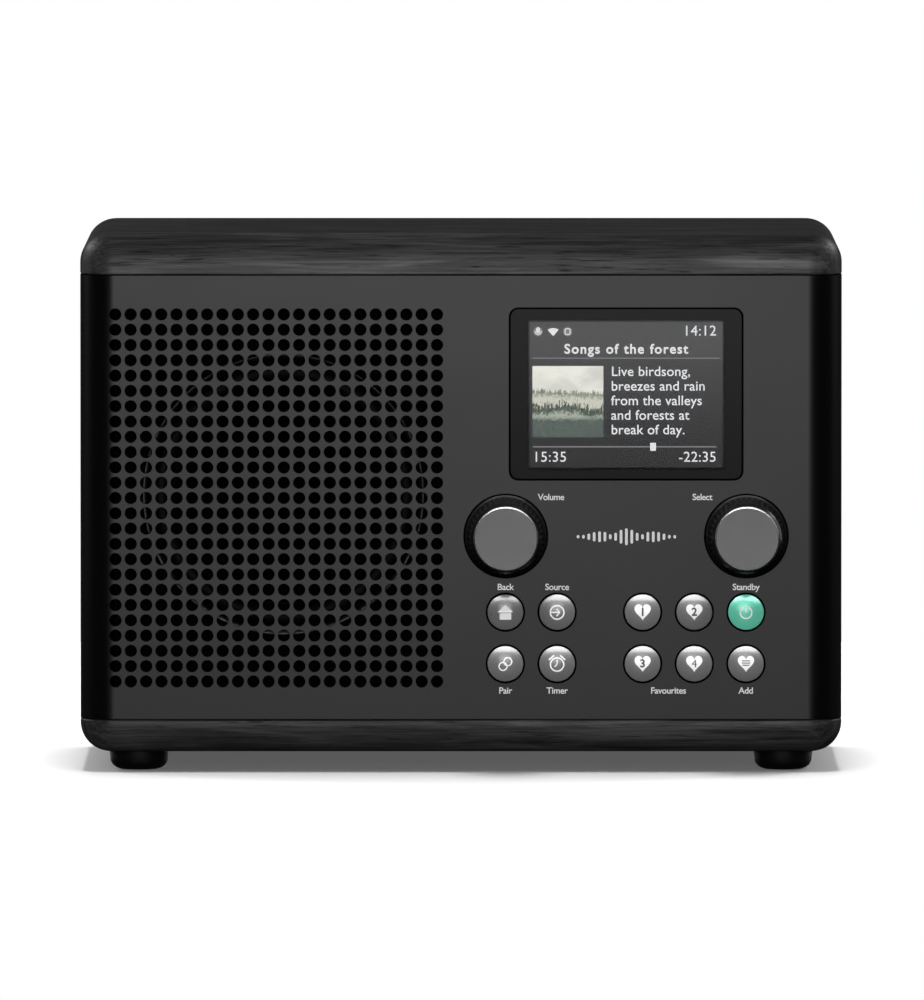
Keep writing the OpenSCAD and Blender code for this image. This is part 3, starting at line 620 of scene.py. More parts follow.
def taken_mesh(curve):
    """(points in the plane, triangles) of a 2D curve or text, whose data is then removed."""
    holder = bpy.data.objects.new("drawing", curve)
    bpy.context.scene.collection.objects.link(holder)
    bpy.context.view_layer.update()
    mesh = holder.to_mesh()
    shape = bmesh.new()
    shape.from_mesh(mesh)
    bmesh.ops.remove_doubles(shape, verts=shape.verts, dist=1e-7)
    bmesh.ops.triangulate(shape, faces=shape.faces)
    points = np.array([v.co[:2] for v in shape.verts]).reshape(-1, 2)
    faces = [[v.index for v in f.verts] for f in shape.faces]
    shape.free()
    holder.to_mesh_clear()
    bpy.data.objects.remove(holder)
    return points, faces


def words(text, size, at, align="CENTER", spacing=1.0, weight=0.0):
    """Lettering as triangles; size is the height of a capital, at is the middle of its baseline or its end,
    and weight thickens every stroke by that share of the height."""
    curve = bpy.data.curves.new("lettering", "FONT")
    curve.body = text
    curve.size = size / CAPITAL
    curve.align_x = align
    curve.space_character = spacing
    curve.offset = weight * size
    curve.resolution_u = 4
    points, faces = taken_mesh(curve)
    return points + np.asarray(at), faces


def stroke(points, width, closed=False):
    """Band of an even width along a line of points, with round ends unless it is closed."""
    points = np.asarray(points, float)
    if closed:
        ahead, behind = np.roll(points, -1, 0), np.roll(points, 1, 0)
    else:
        ahead = np.vstack([points[1:], points[-1:]])
        behind = np.vstack([points[:1], points[:-1]])
    along = ahead - behind
    along /= np.linalg.norm(along, axis=1)[:, None]
    side = np.stack([-along[:, 1], along[:, 0]], -1) * width / 2
    if closed:
        return filled([points + side, points - side])
    turn_end = math.degrees(math.atan2(*along[-1][::-1]))
    turn_start = math.degrees(math.atan2(*along[0][::-1]))
    tail = arc(points[-1], width / 2, turn_end + 90, turn_end - 90, 8)
    head = arc(points[0], width / 2, turn_start - 90, turn_start - 270, 8)
    return filled([np.vstack([points + side, tail, (points - side)[::-1], head])])


def heart(size):
    """Heart outline: x = 16 sin^3 t, y = 13 cos t - 5 cos 2t - 2 cos 3t - cos 4t, scaled to a width."""
    t = np.linspace(0, 2 * np.pi, 48, endpoint=False)
    x = 16 * np.sin(t) ** 3
    y = 13 * np.cos(t) - 5 * np.cos(2 * t) - 2 * np.cos(3 * t) - np.cos(4 * t)
    return np.stack([x, (y + 2.3) * 1.12], -1) * size / 32


def subdivided(points, faces, longest):
    """Splits long triangle edges, so that a flat drawing can follow a dome."""
    shape = bmesh.new()
    verts = [shape.verts.new((x, y, 0.0)) for x, y in points]
    for face in faces:
        shape.faces.new([verts[i] for i in face])
    for _ in range(4):
        edges = [e for e in shape.edges if e.calc_length() > longest]
        if edges:
            bmesh.ops.subdivide_edges(shape, edges=edges, cuts=1)
            bmesh.ops.triangulate(shape, faces=shape.faces)
    shape.verts.index_update()
    out = np.array([v.co[:2] for v in shape.verts]), [[v.index for v in f.verts] for f in shape.faces]
    shape.free()
    return out


def laid_on(name, drawings, height):
    """Drawings in x and z laid on a surface: height(x, z) is how far it stands proud of the front face.
    Faces are turned to face the listener."""
    parts = []
    for points, faces in drawings:
        out = height(points[:, 0], points[:, 1])
        placed = np.stack([points[:, 0], FRONT - out, points[:, 1]], -1)
        turned_faces = []
        for face in faces:
            a, b, c = placed[face[0]], placed[face[1]], placed[face[2]]
            facing = (b[0] - a[0]) * (c[2] - a[2]) - (b[2] - a[2]) * (c[0] - a[0])
            turned_faces.append(face if facing > 0 else face[::-1])
        parts.append((placed, turned_faces))
    return joined(name, parts)


# -------------------------------------------------------------------- settings


def length(name, description, default, least=0.0):
    return FloatProperty(name=name, description=description, default=default, min=least, unit="LENGTH",
                         subtype="DISTANCE", precision=5)


def colour(name, description, default):
    return FloatVectorProperty(name=name, description=description, default=default, min=0.0, max=1.0,
                               size=3, subtype="COLOR")


class CabinetSettings(bpy.types.PropertyGroup):
    corner: length("Corner radius", "Radius of the cabinet's upright corners", 10.5 * MM)
    roll: length("Rolled edge", "Radius of the wood panels' rolled edges", 9.0 * MM)
    sheet: length("Sheet thickness", "Thickness of the sleeve's sheet", 1.2 * MM)
    chamfer: length("Hole edge", "Broken edge round every punched hole", 0.12 * MM)
    coat: colour("Sleeve colour", "Colour of the sleeve's powder coat", (0.0045, 0.0045, 0.0046))


class GrilleSettings(bpy.types.PropertyGroup):
    pitch: length("Pitch", "Distance between neighbouring holes", 4.62 * MM)
    radius: length("Hole radius", "Radius of a grille hole", 1.75 * MM)
    columns: IntProperty(name="Columns", description="Holes in a row", default=22, min=1)
    rows: IntProperty(name="Rows", description="Rows of holes", default=25, min=1)
    middle_x: length("Middle across", "Grille's middle across the front", -55.75 * MM, -1.0)
    middle_z: length("Middle up", "Grille's middle above the table", 83.1 * MM)


class ControlSettings(bpy.types.PropertyGroup):
    button_gap: length("Button gap", "Gap round a button's cap", 0.45 * MM)
    button_radius: length("Button radius", "Radius of a button's cap", 5.4 * MM)
    dome_rim: length("Dome rim", "Height of a button's dome at its rim", 0.3 * MM)
    dome_top: length("Dome crown", "Height of a button's dome at its middle", 1.2 * MM)
    dial_hole: length("Dial hole", "Radius of the hole round a dial", 12.7 * MM)
    ribs: IntProperty(name="Ribs", description="Ribs round a dial", default=40, min=12)
    rib_depth: length("Rib depth", "Depth of a dial's knurling", 0.42 * MM)
    grey: colour("Button grey", "Colour of the plain buttons", (0.1, 0.1, 0.102))
    green: colour("Standby green", "Colour of the standby button", (0.09, 0.41, 0.29))
    cap: colour("Cap grey", "Anodised colour of the dial caps", (0.09, 0.09, 0.091))


class DisplaySettings(bpy.types.PropertyGroup):
    lit_width: length("Lit width", "Width of the lit picture", 57.6 * MM)
    lit_height: length("Lit height", "Height of the lit picture", 43.6 * MM)
    corner: length("Window corner", "Corner radius of the window", 2.7 * MM)
    glow: FloatProperty(name="Backlight", description="Strength of the display's light", default=1.0, min=0.0)
    clock: StringProperty(name="Clock", description="Time shown at the top of the display", default="14:12")
    title: StringProperty(name="Title", description="Programme title on the display",
                          default="Songs of the forest")


class StageSettings(bpy.types.PropertyGroup):
    distance: length("Camera distance", "Distance of the camera from the front face", 6.0)
    lens: FloatProperty(name="Lens", description="Focal length of the camera in millimetres",
                        default=716.0, min=10.0)
    pitch: FloatProperty(name="Pitch", description="How far the camera looks down",
                         default=math.radians(3.02), subtype="ANGLE")
    aim_x: length("Aim across", "Point of the front that the camera is aimed at", 0.3 * MM, -1.0)
    aim_z: length("Aim up", "Height that the camera is aimed at", 82.5 * MM)


SETTINGS = {
    "radio_cabinet": CabinetSettings,
    "radio_grille": GrilleSettings,
    "radio_controls": ControlSettings,
    "radio_display": DisplaySettings,
    "radio_stage": StageSettings,
}


# ---------------------------------------------------------------------- pieces


def rolled_panel(name, low, high, corner, roll, upwards):
    """Board whose plan is a rectangle with round corners and whose upper or lower edge rolls over. A point
    is the core rectangle's border, plus its outward normal times the profile's reach, at the profile's
    height; the profile is a straight land and then a quarter circle."""
    half_x, half_y = (high.x - low.x) / 2 - corner, (high.y - low.y) / 2 - corner
    steps = 16
    quarter = np.radians(np.linspace(0, 90, steps))
    signs = [(1, 1, 0), (-1, 1, 90), (-1, -1, 180), (1, -1, 270)]
    core = np.concatenate([np.tile([sx * half_x, sy * half_y], (steps, 1)) for sx, sy, _ in signs])
    out = np.concatenate([
        np.stack([np.cos(quarter + math.radians(a)), np.sin(quarter + math.radians(a))], -1)
        for _, _, a in signs
    ])
    height = high.z - low.z
    sweep = np.radians(np.linspace(0, 90, 20))
    lip = 0.35 * MM
    profile = [(corner - roll, 0.0), (corner - lip, 0.0), (corner, lip)]
    profile += [(corner - roll + roll * c, height - roll + roll * s)
                for c, s in zip(np.cos(sweep), np.sin(sweep))]
    centre = np.array([(low.x + high.x) / 2, (low.y + high.y) / 2])
    rings = []
    for reach, up in profile:
        z = low.z + up if upwards else high.z - up
        rings.append(np.column_stack([core + out * reach + centre, np.full(len(core), z)]))
    return flattened(lofted(name, rings, smooth_angle=20.0))


class Fold:
    """Plan of the sleeve unrolled to a length s, nought at the middle of the front: straight, a quarter
    circle at each upright corner, and straight again along the sides."""

    def __init__(self, radius):
        self.radius = radius
        self.half = SHELL_HIGH.x - radius
        self.bend_end = self.half + radius * math.pi / 2
        self.reach = self.bend_end + SHELL_HIGH.y - SHELL_LOW.y - radius

    def turn(self, s):
        return np.clip((np.abs(s) - self.half) / self.radius, 0, math.pi / 2)

    def normal(self, s):
        """Outward direction at s: straight ahead, turning to the side through the corner."""
        turn = self.turn(s)
        return np.stack([np.sign(s) * np.sin(turn), -np.cos(turn), 0 * turn], -1)

    def along(self, s):
        turn = self.turn(s)
        return np.stack([np.cos(turn), np.sign(s) * np.sin(turn), 0 * turn], -1)

    def place(self, flat, inwards):
        """Points of the flat pattern (s, z) wrapped round the plan, inwards from the outer face."""
        s, z = flat[:, 0], flat[:, 1]
        turn, r = self.turn(s), self.radius - inwards
        x = np.minimum(np.abs(s), self.half) + r * np.sin(turn)
        y = SHELL_LOW.y + self.radius - r * np.cos(turn) + np.clip(np.abs(s) - self.bend_end, 0, None)
        return np.stack([np.sign(s) * x, y, z], -1)


class Pattern:
    """Flat pattern of the sleeve: its border, its fold lines and every opening, grown by a given amount."""

    def __init__(self, fold, grille, controls):
        self.fold = fold
        self.grille = grille
        self.columns = (np.arange(grille.columns) - (grille.columns - 1) / 2) * grille.pitch + grille.middle_x
        self.rows = (np.arange(grille.rows) - (grille.rows - 1) / 2) * grille.pitch + grille.middle_z
        low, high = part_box("display_lens")
        self.window = ((low.x + high.x) / 2, (low.z + high.z) / 2)
        self.window_half = np.array([high.x - low.x, high.z - low.z]) / 2 + 0.2 * MM
        button_hole = controls.button_radius + controls.button_gap
        self.rounds = [(middle(f"button_{b}"), button_hole, 40) for b in (*GREY_BUTTONS, "standby")]
        self.rounds += [(middle(f"{d}_knob"), controls.dial_hole, 72) for d in DIALS]

    def circle(self, x, z, r, steps):
        """Anticlockwise circle, with a point wherever the left corner's fold line crosses it."""
        if abs(x + self.fold.half) >= r:
            return arc((x, z), r, 0, 360 * (1 - 1 / steps), steps)
        cross = math.degrees(math.acos((-self.fold.half - x) / r))
        first = arc((x, z), r, -cross, cross, steps // 2 + 1)
        return np.vstack([first, arc((x, z), r, cross, 360 - cross, steps // 2 + 1)[1:-1]])

    def loops(self, grow):
        """Border, then the grille's holes column by column, then the round openings and the window."""
        folds = np.linspace(self.fold.half, self.fold.bend_end, 13)
        marks = np.concatenate([[-self.fold.reach], -folds[::-1], folds, [self.fold.reach]])
        border = np.concatenate([np.stack([marks, np.full(len(marks), SHELL_LOW.z)], -1),
                                 np.stack([marks[::-1], np.full(len(marks), SHELL_HIGH.z)], -1)])
        found = [border]
        hole = self.grille.radius + grow
        found += [self.circle(x, z, hole, GRILLE_SIDES) for x in self.columns for z in self.rows]
        found += [self.circle(at.x, at.z, r + grow, steps) for at, r, steps in self.rounds]
        wide, tall = 2 * (self.window_half + grow)
        found.append(rounded_loop(wide, tall, WINDOW_CORNER + grow, 10, self.window))
        return found

    def fold_edges(self, starts, marks):
        """Pairs of points along every fold line; the left corner's line runs from hole to hole."""
        edges = [(i, 2 * marks - 1 - i) for i in range(1, marks - 1)]
        line = marks // 2 - 1
        if abs(self.columns[0] + self.fold.half) < self.grille.radius:
            edges.remove((line, 2 * marks - 1 - line))
            holes = starts[1:1 + len(self.rows)]
            ends = [int(h) + k for h in holes for k in (0, GRILLE_SIDES // 2)]
            stops = [line] + ends + [2 * marks - 1 - line]
            edges += list(zip(stops[::2], stops[1::2]))
        return edges

    def gone(self, centre, grow):
        """True for the triangles, given by their centres, that fall in an opening."""
        def nearest(values, lines):
            step = np.round((values - lines[0]) / self.grille.pitch)
            return values - lines[np.clip(step, 0, len(lines) - 1).astype(int)]

        x, z = centre[:, 0], centre[:, 1]
        flats = math.cos(math.pi / GRILLE_SIDES)      # an outline's flats, as a share of its radius
        out = np.hypot(nearest(x, self.columns), nearest(z, self.rows)) < (self.grille.radius + grow) * flats
        for at, r, steps in self.rounds:
            out |= np.hypot(x - at.x, z - at.z) < (r + grow) * math.cos(math.pi / steps)
        r = WINDOW_CORNER + grow
        over = np.abs(centre - self.window) - (self.window_half + grow - r)
        return out | (np.hypot(*np.clip(over, 0, None).T) < r)

    def cut(self, grow):
        """Points, triangles outside every opening, and each loop as a list of point numbers."""
        loops = self.loops(grow)
        starts = np.cumsum([0] + [len(loop) for loop in loops])
        edges = [(s + i, s + (i + 1) % len(loop)) for s, loop in zip(starts, loops) for i in range(len(loop))]
        edges += self.fold_edges(starts, len(loops[0]) // 2)
        flat = np.concatenate(loops)
        scale = 1000.0                      # the cutter works best in units near one
        corners = [Vector(v) for v in flat * scale]
        points, _, faces, origins, _, _ = delaunay_2d_cdt(corners, edges, [], 0, 1e-6)
        points, faces = np.array(points) / scale, np.array(faces)
        numbers = np.zeros(len(flat), int)
        for new, olds in enumerate(origins):
            numbers[olds] = new
        faces = faces[~self.gone(points[faces].mean(1), grow)]
        return points, faces, [numbers[s:s + len(loop)] for s, loop in zip(starts, loops)]


def sleeve_sheet(cabinet, grille, controls):
    """Folded sheet: the flat pattern is cut for the outer and the inner face, the two are wrapped round the
    plan, and walls with a broken outer edge join them. Normals come from the plan, so that flats stay
    flat."""
    fold = Fold(cabinet.corner)
    pattern = Pattern(fold, grille, controls)
    outer, outer_faces, outer_loops = pattern.cut(cabinet.chamfer)
    inner, inner_faces, inner_loops = pattern.cut(0.0)
    points = [fold.place(outer, 0.0), fold.place(inner, cabinet.sheet)]
    inner_faces = inner_faces[:, ::-1]
    faces = outer_faces.tolist() + (inner_faces + len(outer)).tolist()
    normals = [fold.normal(outer[outer_faces.ravel(), 0]), -fold.normal(inner[inner_faces.ravel(), 0])]
    start = len(outer) + len(inner)

    def band(front, back, tilt, flat):
        """Wall between two rows of points, with normals tilted from the wall's own towards the outer face."""
        nonlocal faces
        faces += np.stack([front, np.roll(front, -1), np.roll(back, -1), back], -1).tolist()
        ahead = np.roll(flat, -1, 0) - np.roll(flat, 1, 0)
        ahead /= np.linalg.norm(ahead, axis=1)[:, None]
        out = fold.along(flat[:, 0]) * -ahead[:, 1:] + np.array([0, 0, 1]) * ahead[:, :1]
        out = out * math.cos(tilt) + fold.normal(flat[:, 0]) * math.sin(tilt)
        beyond = np.roll(out, -1, 0)
        normals.append(np.stack([out, out, beyond, beyond], 1).reshape(-1, 3))

    for number, (front, back) in enumerate(zip(outer_loops, inner_loops)):
        flat = inner[back]
        if number == 0:
            # the sheet's own border goes round the other way and has no broken edge
            band(front[::-1], back[::-1] + len(outer), 0.0, flat[::-1])
            continue
        lip = start + np.arange(len(front))
        start += len(front)
        points.append(fold.place(flat, cabinet.chamfer))
        band(front, lip, math.pi / 4, flat)
        band(lip, back + len(outer), 0.0, flat)
    piece = new_piece("sleeve_sheet", np.concatenate(points), faces)
    piece.data.shade_smooth()
    piece.data.normals_split_custom_set(np.concatenate(normals).tolist())
    return piece


def dome_height(settings):
    """Height of a button's dome at a distance from its axis: a cap of a sphere from the rim up to the
    crown."""
    rise = settings.dome_top - settings.dome_rim
    sphere = (settings.button_radius ** 2 + rise ** 2) / (2 * rise)
    return lambda r: np.sqrt(np.clip(sphere ** 2 - r ** 2, 0, None)) - sphere + settings.dome_top


def button_cap(name, at, settings, back):
    """Domed cap turned from its crown, over a small rim radius, down to its skirt and flange."""
    dome = dome_height(settings)
    r = settings.button_radius
    rim = 0.25 * MM
    across = np.linspace(0, r - rim, 16)
    profile = [(a, dome(a)) for a in across]
    corner = dome(r - rim) - rim
    profile += [(r - rim + rim * math.sin(t), corner + rim * math.cos(t)) for t in np.radians([30, 60, 90])]
    flange, flange_front, flange_back, stem = 6.6 * MM, -1.5 * MM, -2.3 * MM, 2.0 * MM
    profile += [(r, flange_front), (flange, flange_front), (flange, flange_back), (stem, flange_back),
                (stem, back), (0, back)]
    return turned(name, profile, at.x, at.z, 64)


def glyph(kind):
    """A button's printed sign, in millimetres about its middle: (drawings in white, drawings in dark)."""
    line = 0.42
    ring = arc((0, 0), 2.05, 0, 350, 36)
    if kind == "back":
        roof = [(0, 2.3), (2.35, 0.05), (1.75, 0.05), (1.75, -2.2), (-1.75, -2.2), (-1.75, 0.05),
                (-2.35, 0.05)]
        return [filled([np.array(roof, float)])], []
    if kind == "source":
        arrow = [stroke([(-1.75, 0), (0.75, 0)], line),
                 stroke([(-0.05, 0.95), (0.85, 0), (-0.05, -0.95)], line)]
        return [stroke(ring, line, True), *arrow], []
    if kind == "pair":
        return [stroke(arc((s * 0.72, s * 0.72), 1.2, 0, 348, 30), 0.38, True) for s in (-1, 1)], []
    if kind == "timer":
        bells = [stroke([(s * 1.05, 2.5), (s * 2.35, 1.35)], line) for s in (-1, 1)]
        hands = [stroke([(0, 1.15), (0, 0.05), (-0.62, -0.72)], line * 0.85)]
        return [stroke(ring * 0.98 - (0, 0.15), line, True), *bells, *hands], []
    if kind == "standby":
        return [stroke(arc((0, -0.1), 1.75, 122, 418, 34), line), stroke([(0, 1.9), (0, 0.15)], line)], []
    if kind == "add":
        rows = [stroke([(-w, y), (w, y)], 0.3) for w, y in ((1.15, 0.95), (1.15, 0.3), (0.95, -0.35))]
        return [filled([heart(4.9)])], rows
    weight = 0.0 if kind.endswith("4") else 0.05        # a thicker 4 would close up
    return [filled([heart(4.9)])], [words(kind[-1], 2.3, (0, -0.95), "CENTER", 1.0, weight)]


def dial_grip(name, at, settings):
    """Dial body: a base flange hollow behind, knurled flank that tapers, and a plain collar under the cap.
    Knurling pushes the radius in by |sin| of the rib angle, more in the middle of the flank than at its
    ends."""
    low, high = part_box(name)
    reach = FRONT - low.y
    base = (high.x - low.x) / 2
    skirt = -(high.y - FRONT)
    collar = 10.1 * MM
    foot = 1.2 * MM
    flank = np.linspace(foot, reach - 3.2 * MM, 26)
    share = (flank - foot) / (flank[-1] - foot)
    wide, narrow = 11.75 * MM, 10.55 * MM   # flank's radius at its foot and at its end
    flank_r = wide + (narrow - wide) * share
    roof = 3.0 * MM                         # how far forward the room behind the dial reaches
    profile = [(0, roof), (HOLLOW, roof), (HOLLOW, skirt), (base - 0.2 * MM, skirt), (base, skirt + 0.2 * MM),
               (base, 0.55 * MM), (base - 0.25 * MM, 0.8 * MM), (wide, 1.0 * MM)]
    profile += list(zip(flank_r, flank))
    profile += [(10.45 * MM, reach - 3.0 * MM), (collar + 0.15 * MM, reach - 2.7 * MM),
                (collar, reach - 0.5 * MM), (collar - 0.3 * MM, reach - 0.1 * MM),
                (9.4 * MM, reach), (0, reach)]
    start, end = flank[0], flank[-1]

    def knurled(angle, out, r):
        inside = np.clip((out - start) / (1.2 * MM), 0, 1) * np.clip((end - out) / (1.2 * MM), 0, 1)
        ribs = 1 - np.abs(np.cos(settings.ribs * angle / 2)) ** 1.5
        return r - settings.rib_depth * inside * ribs

    return turned(f"{name}_grip", profile, at.x, at.z, settings.ribs * 12, knurled, 40.0)


def dial_cap(name, at):
    """Anodised disc with a diamond-cut chamfer and a faintly dished face."""
    low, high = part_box(name)
    back, face = FRONT - high.y, FRONT - low.y
    r = (high.x - low.x) / 2
    cut = 0.42 * MM
    profile = [(0, back), (r - 0.1 * MM, back), (r, back + 0.1 * MM), (r, face - cut),
               (r - cut, face - 0.02 * MM)]
    profile += [(r * s - cut * s, face - 0.02 * MM - 0.06 * MM * (1 - s ** 2))
                for s in (0.9, 0.7, 0.45, 0.2, 0.0)]
    return turned(f"{name}_disc", profile, at.x, at.z, 128)


def foot_piece(name, at):
    """Rubber foot turned about an upright axis: flat tread, rounded shoulder, tapered side."""
    profile = np.array([(0, 0), (5.0, 0), (5.6, 0.06), (6.9, 0.5), (7.8, 1.15), (8.25, 1.75), (8.45, 2.1),
                        (8.6, 2.5), (8.85, 4.6), (9.0, 6.0), (0, 6.0)]) * MM
    angle = np.linspace(0, 2 * np.pi, 72, endpoint=False)[None, :]
    r, z = profile[:, :1], profile[:, 1:]
    rings = np.stack([at.x + r * np.cos(angle), at.y + r * np.sin(angle), z + 0 * angle], -1)
    return lofted(name, rings, caps=False)


def speaker_profiles():
    """Driver's visible skins: half-roll surround whose foot turns in behind the cone, ribbed cone, dust cap
    and the frame's front lip."""
    roll = arc((37.0, -6.2), 3.8, 180, 0, 20)
    inner = arc((37.0, -6.2), 3.2, 0, 180, 20)
    foot = [(32.0, -11.1), (33.05, -9.6), (33.05, -6.2)]
    rim = [(42.2, -6.2), (42.2, -5.6), (42.35, -5.6), (42.4, -6.2)]
    foot_back = [(33.8, -6.8), (33.4, -6.8), (33.4, -9.8), (32.0, -11.4), (32.0, -11.1)]
    surround = np.vstack([foot, roll, rim, inner, foot_back])
    run = np.linspace(0, 1, 40)
    ribs = 0.22 * np.sin(run * 2 * np.pi * 7) * (run < 0.8)
    front = np.stack([32.9 + (12.95 - 32.9) * run, -7.0 - 15.6 * run ** 0.85 + ribs], -1)
    cone = np.vstack([front, [(12.95, -23.5)], front[::-1] - (0, 0.8), front[:1]])
    dome_t = np.linspace(0, 1, 14)
    dome = np.stack([13.6 * dome_t, -15.5 - 5.0 * dome_t ** 2], -1)
    cap = np.vstack([dome, [(13.6, -21.0)], (dome - (0, 0.5))[::-1]])
    lip = np.array([(41.05, -5.55), (41.9, -5.0), (42.3, -5.0), (42.3, -5.7), (41.05, -5.7), (41.05, -5.55)])
    return surround * MM, cone * MM, cap * MM, lip * MM


def tube_piece(name, node, bore):
    """Tube along X with rolled ends; a bore of nought leaves a closed rod."""
    low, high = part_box(node)
    axis_y, axis_z = (low.y + high.y) / 2, (low.z + high.z) / 2
    r = (high.z - low.z) / 2
    roll = 0.15 * MM
    runs = [(0, high.x), (r - roll, high.x), (r, high.x - roll), (r, low.x + roll), (r - roll, low.x)]
    runs += [(bore, low.x), (bore, low.x + 3 * MM), (0, low.x + 3 * MM)] if bore else [(0, low.x)]
    angle = np.linspace(0, 2 * np.pi, 48, endpoint=False)
    rings = [np.stack([np.full(48, x), axis_y + q * np.cos(angle), axis_z + q * np.sin(angle)], -1)
             for q, x in runs]
    return lofted(name, rings, caps=False)


# ------------------------------------------------------------------- operators


class RADIO_OT_stage(bpy.types.Operator):
    """Floor, studio light and the camera"""

    bl_idname = "radio.stage"
    bl_label = "Stage"

    def execute(self, context):
        settings = context.scene.radio_stage
        view = context.scene.view_settings
        view.view_transform = "Standard"
        view.look = "None"
        self.make_world(context)
        front = graded_light("front_light", (-0.13, 0.22), (0.36, 3.95), (0.3, 0.6), (0.17, 0.48))
        self.standing_panel("front_glow", 0, 1.7, 0.5, front)
        for side in (-1, 1):
            self.standing_panel(f"side_glow_{side + 2}", side * 105, 1.5, 0.35,
                                graded_light(f"side_light_{side + 2}", (0.04, 0.5), (0.0, 1.0)))
        boards, shell, rear = lit_group("boards"), lit_group("shell"), lit_group("rear")
        controls = lit_group("controls")
        self.soft_light("board_front", (0.0, -1.5, 0.08), (0.0, 0.0, 0.08), (0.9, 0.5), 4.6, boards)
        self.soft_light("brow", (0.0, -1.15, 1.2), (0.0, -0.06, 0.1), (1.8, 0.8), 0.36)
        self.soft_light("overhead", (0.0, -0.1, 1.4), (0.0, -0.06, 0.1), (1.7, 0.5), 0.12)
        self.soft_light("rear_fill", (0.0, 1.2, 1.5), (0.0, 0.06, 0.08), (1.6, 0.7), 0.25)
        for side in (-1, 1):
            number = side + 2
            self.soft_light(f"shoulder_{number}", (side * 1.12, 0.66, 0.94), (0.0, 0.0, 0.1),
                            (0.36, 0.36), 15.0)
            self.soft_light(f"shell_side_{number}", (side * 0.51, 0.89, 1.2), (0.0, 0.0, 0.08),
                            (0.8, 0.8), 8.0, shell)
            self.soft_light(f"behind_{number}", (side * 0.8, 1.4, 0.4), (0.0, 0.0, 0.08),
                            (1.2, 1.0), 3.0, rear)
        self.soft_light("high_front", (0.0, -1.35, 0.8), (0.0, -0.06, 0.08), (2.4, 0.42), 8.5, controls)
        self.soft_light("higher_front", (0.0, -1.15, 1.2), (0.0, -0.06, 0.08), (2.2, 0.42), 20.0, controls)
        self.soft_light("control_top", (0.0, -0.1, 1.3), (0.0, -0.06, 0.1), (1.4, 0.4), 6.0, controls)
        ground = lit_group("ground")
        ground.objects.link(self.make_floor())
        self.soft_light("key_wash", (0.0, 0.0, 6.0), (0.0, 0.0, 0.0), (1.2, 4.2), 19.4, ground)
        self.soft_light("sky_wash", (0.0, 0.0, 3.0), (0.0, 0.0, 0.0), (5.0, 5.0), 0.5, ground)
        self.make_camera(context, settings)
        return {"FINISHED"}

    def make_world(self, context):
        """White where the camera looks past the object, dim grey for all other light."""
        world = bpy.data.worlds.new("studio")
        world.use_nodes = True
        context.scene.world = world
        tree = world.node_tree
        tree.nodes.clear()
        seen = tree.nodes.new("ShaderNodeBackground")
        seen.inputs["Color"].default_value = (1, 1, 1, 1)
        dim = tree.nodes.new("ShaderNodeBackground")
        dim.inputs["Color"].default_value = (0.012, 0.012, 0.0122, 1)
        path = tree.nodes.new("ShaderNodeLightPath")
        mix = tree.nodes.new("ShaderNodeMixShader")
        out = tree.nodes.new("ShaderNodeOutputWorld")
        tree.links.new(path.outputs["Is Camera Ray"], mix.inputs[0])
        tree.links.new(dim.outputs[0], mix.inputs[1])
        tree.links.new(seen.outputs[0], mix.inputs[2])
        tree.links.new(mix.outputs[0], out.inputs["Surface"])

    def make_floor(self):
        """Pale floor that gives the object no light back."""
        half = 0.6
        corners = [(-half, -half, 0), (half, -half, 0), (half, half, 0), (-half, half, 0)]
        floor = new_piece("floor", corners, [(0, 1, 2, 3)])
        floor.data.materials.append(backdrop("pale_floor", (0.9, 0.9, 0.9), 0.108))
        floor.visible_diffuse = False
        floor.visible_glossy = False
        return floor

    def standing_panel(self, name, azimuth, distance, half_width, material):
        """Upright light panel turned to the object, an azimuth in degrees round from the front; it
        isn't seen."""
        turn = math.radians(azimuth)
        away = np.array([math.sin(turn), -math.cos(turn)]) * distance
        along = np.array([math.cos(turn), math.sin(turn)]) * half_width
        low, high = -0.6, 0.85
        first, last = away + along, away - along
        corners = [(*first, low), (*last, low), (*last, high), (*first, high)]
        panel = new_piece(name, corners, [(0, 1, 2, 3)])
        panel.data.materials.append(material)
        panel.visible_camera = False
        panel.visible_shadow = False

    def soft_light(self, name, at, towards, size, glow, group=None):
        """Rectangular light whose surface is as bright as glow, whatever its size; a group is all that
        it lights."""
        data = bpy.data.lights.new(name, "AREA")
        data.shape = "RECTANGLE"
        data.size, data.size_y = size
        data.energy = glow * math.pi * size[0] * size[1]
        lamp = bpy.data.objects.new(name, data)
        lamp.location = at
        lamp.rotation_euler = (Vector(towards) - Vector(at)).to_track_quat("-Z", "Y").to_euler()
        lamp.visible_camera = False
        lamp.light_linking.receiver_collection = group
        bpy.context.scene.collection.objects.link(lamp)

    def make_camera(self, context, settings):
        data = bpy.data.cameras.new("camera")
        data.lens = settings.lens
        data.sensor_width = 36.0
        data.clip_start = 0.1
        data.clip_end = 100.0
        camera = bpy.data.objects.new("camera", data)
        aim = Vector((settings.aim_x, FRONT, settings.aim_z))
        back = Vector((0, -math.cos(settings.pitch), math.sin(settings.pitch)))
        camera.location = aim + back * settings.distance
        camera.rotation_euler = (-back).to_track_quat("-Z", "Y").to_euler()
        context.scene.collection.objects.link(camera)
        context.scene.camera = camera


class RADIO_OT_wood_panels(bpy.types.Operator):
    """Top and bottom boards with rolled edges"""

    bl_idname = "radio.wood_panels"
    bl_label = "Wood panels"

    def execute(self, context):
        cabinet = context.scene.radio_cabinet
        top = rolled_panel("top_board", TOP_LOW, TOP_HIGH, cabinet.corner, cabinet.roll, True)
        settle(top, "cabinet", stained_wood("stained_top", 0), "top_panel", "stained_wood")
        base = rolled_panel("bottom_board", BASE_LOW, BASE_HIGH, cabinet.corner, cabinet.roll, False)
        settle(base, "cabinet", stained_wood("stained_base", 3), "bottom_panel", "stained_wood")
        return {"FINISHED"}


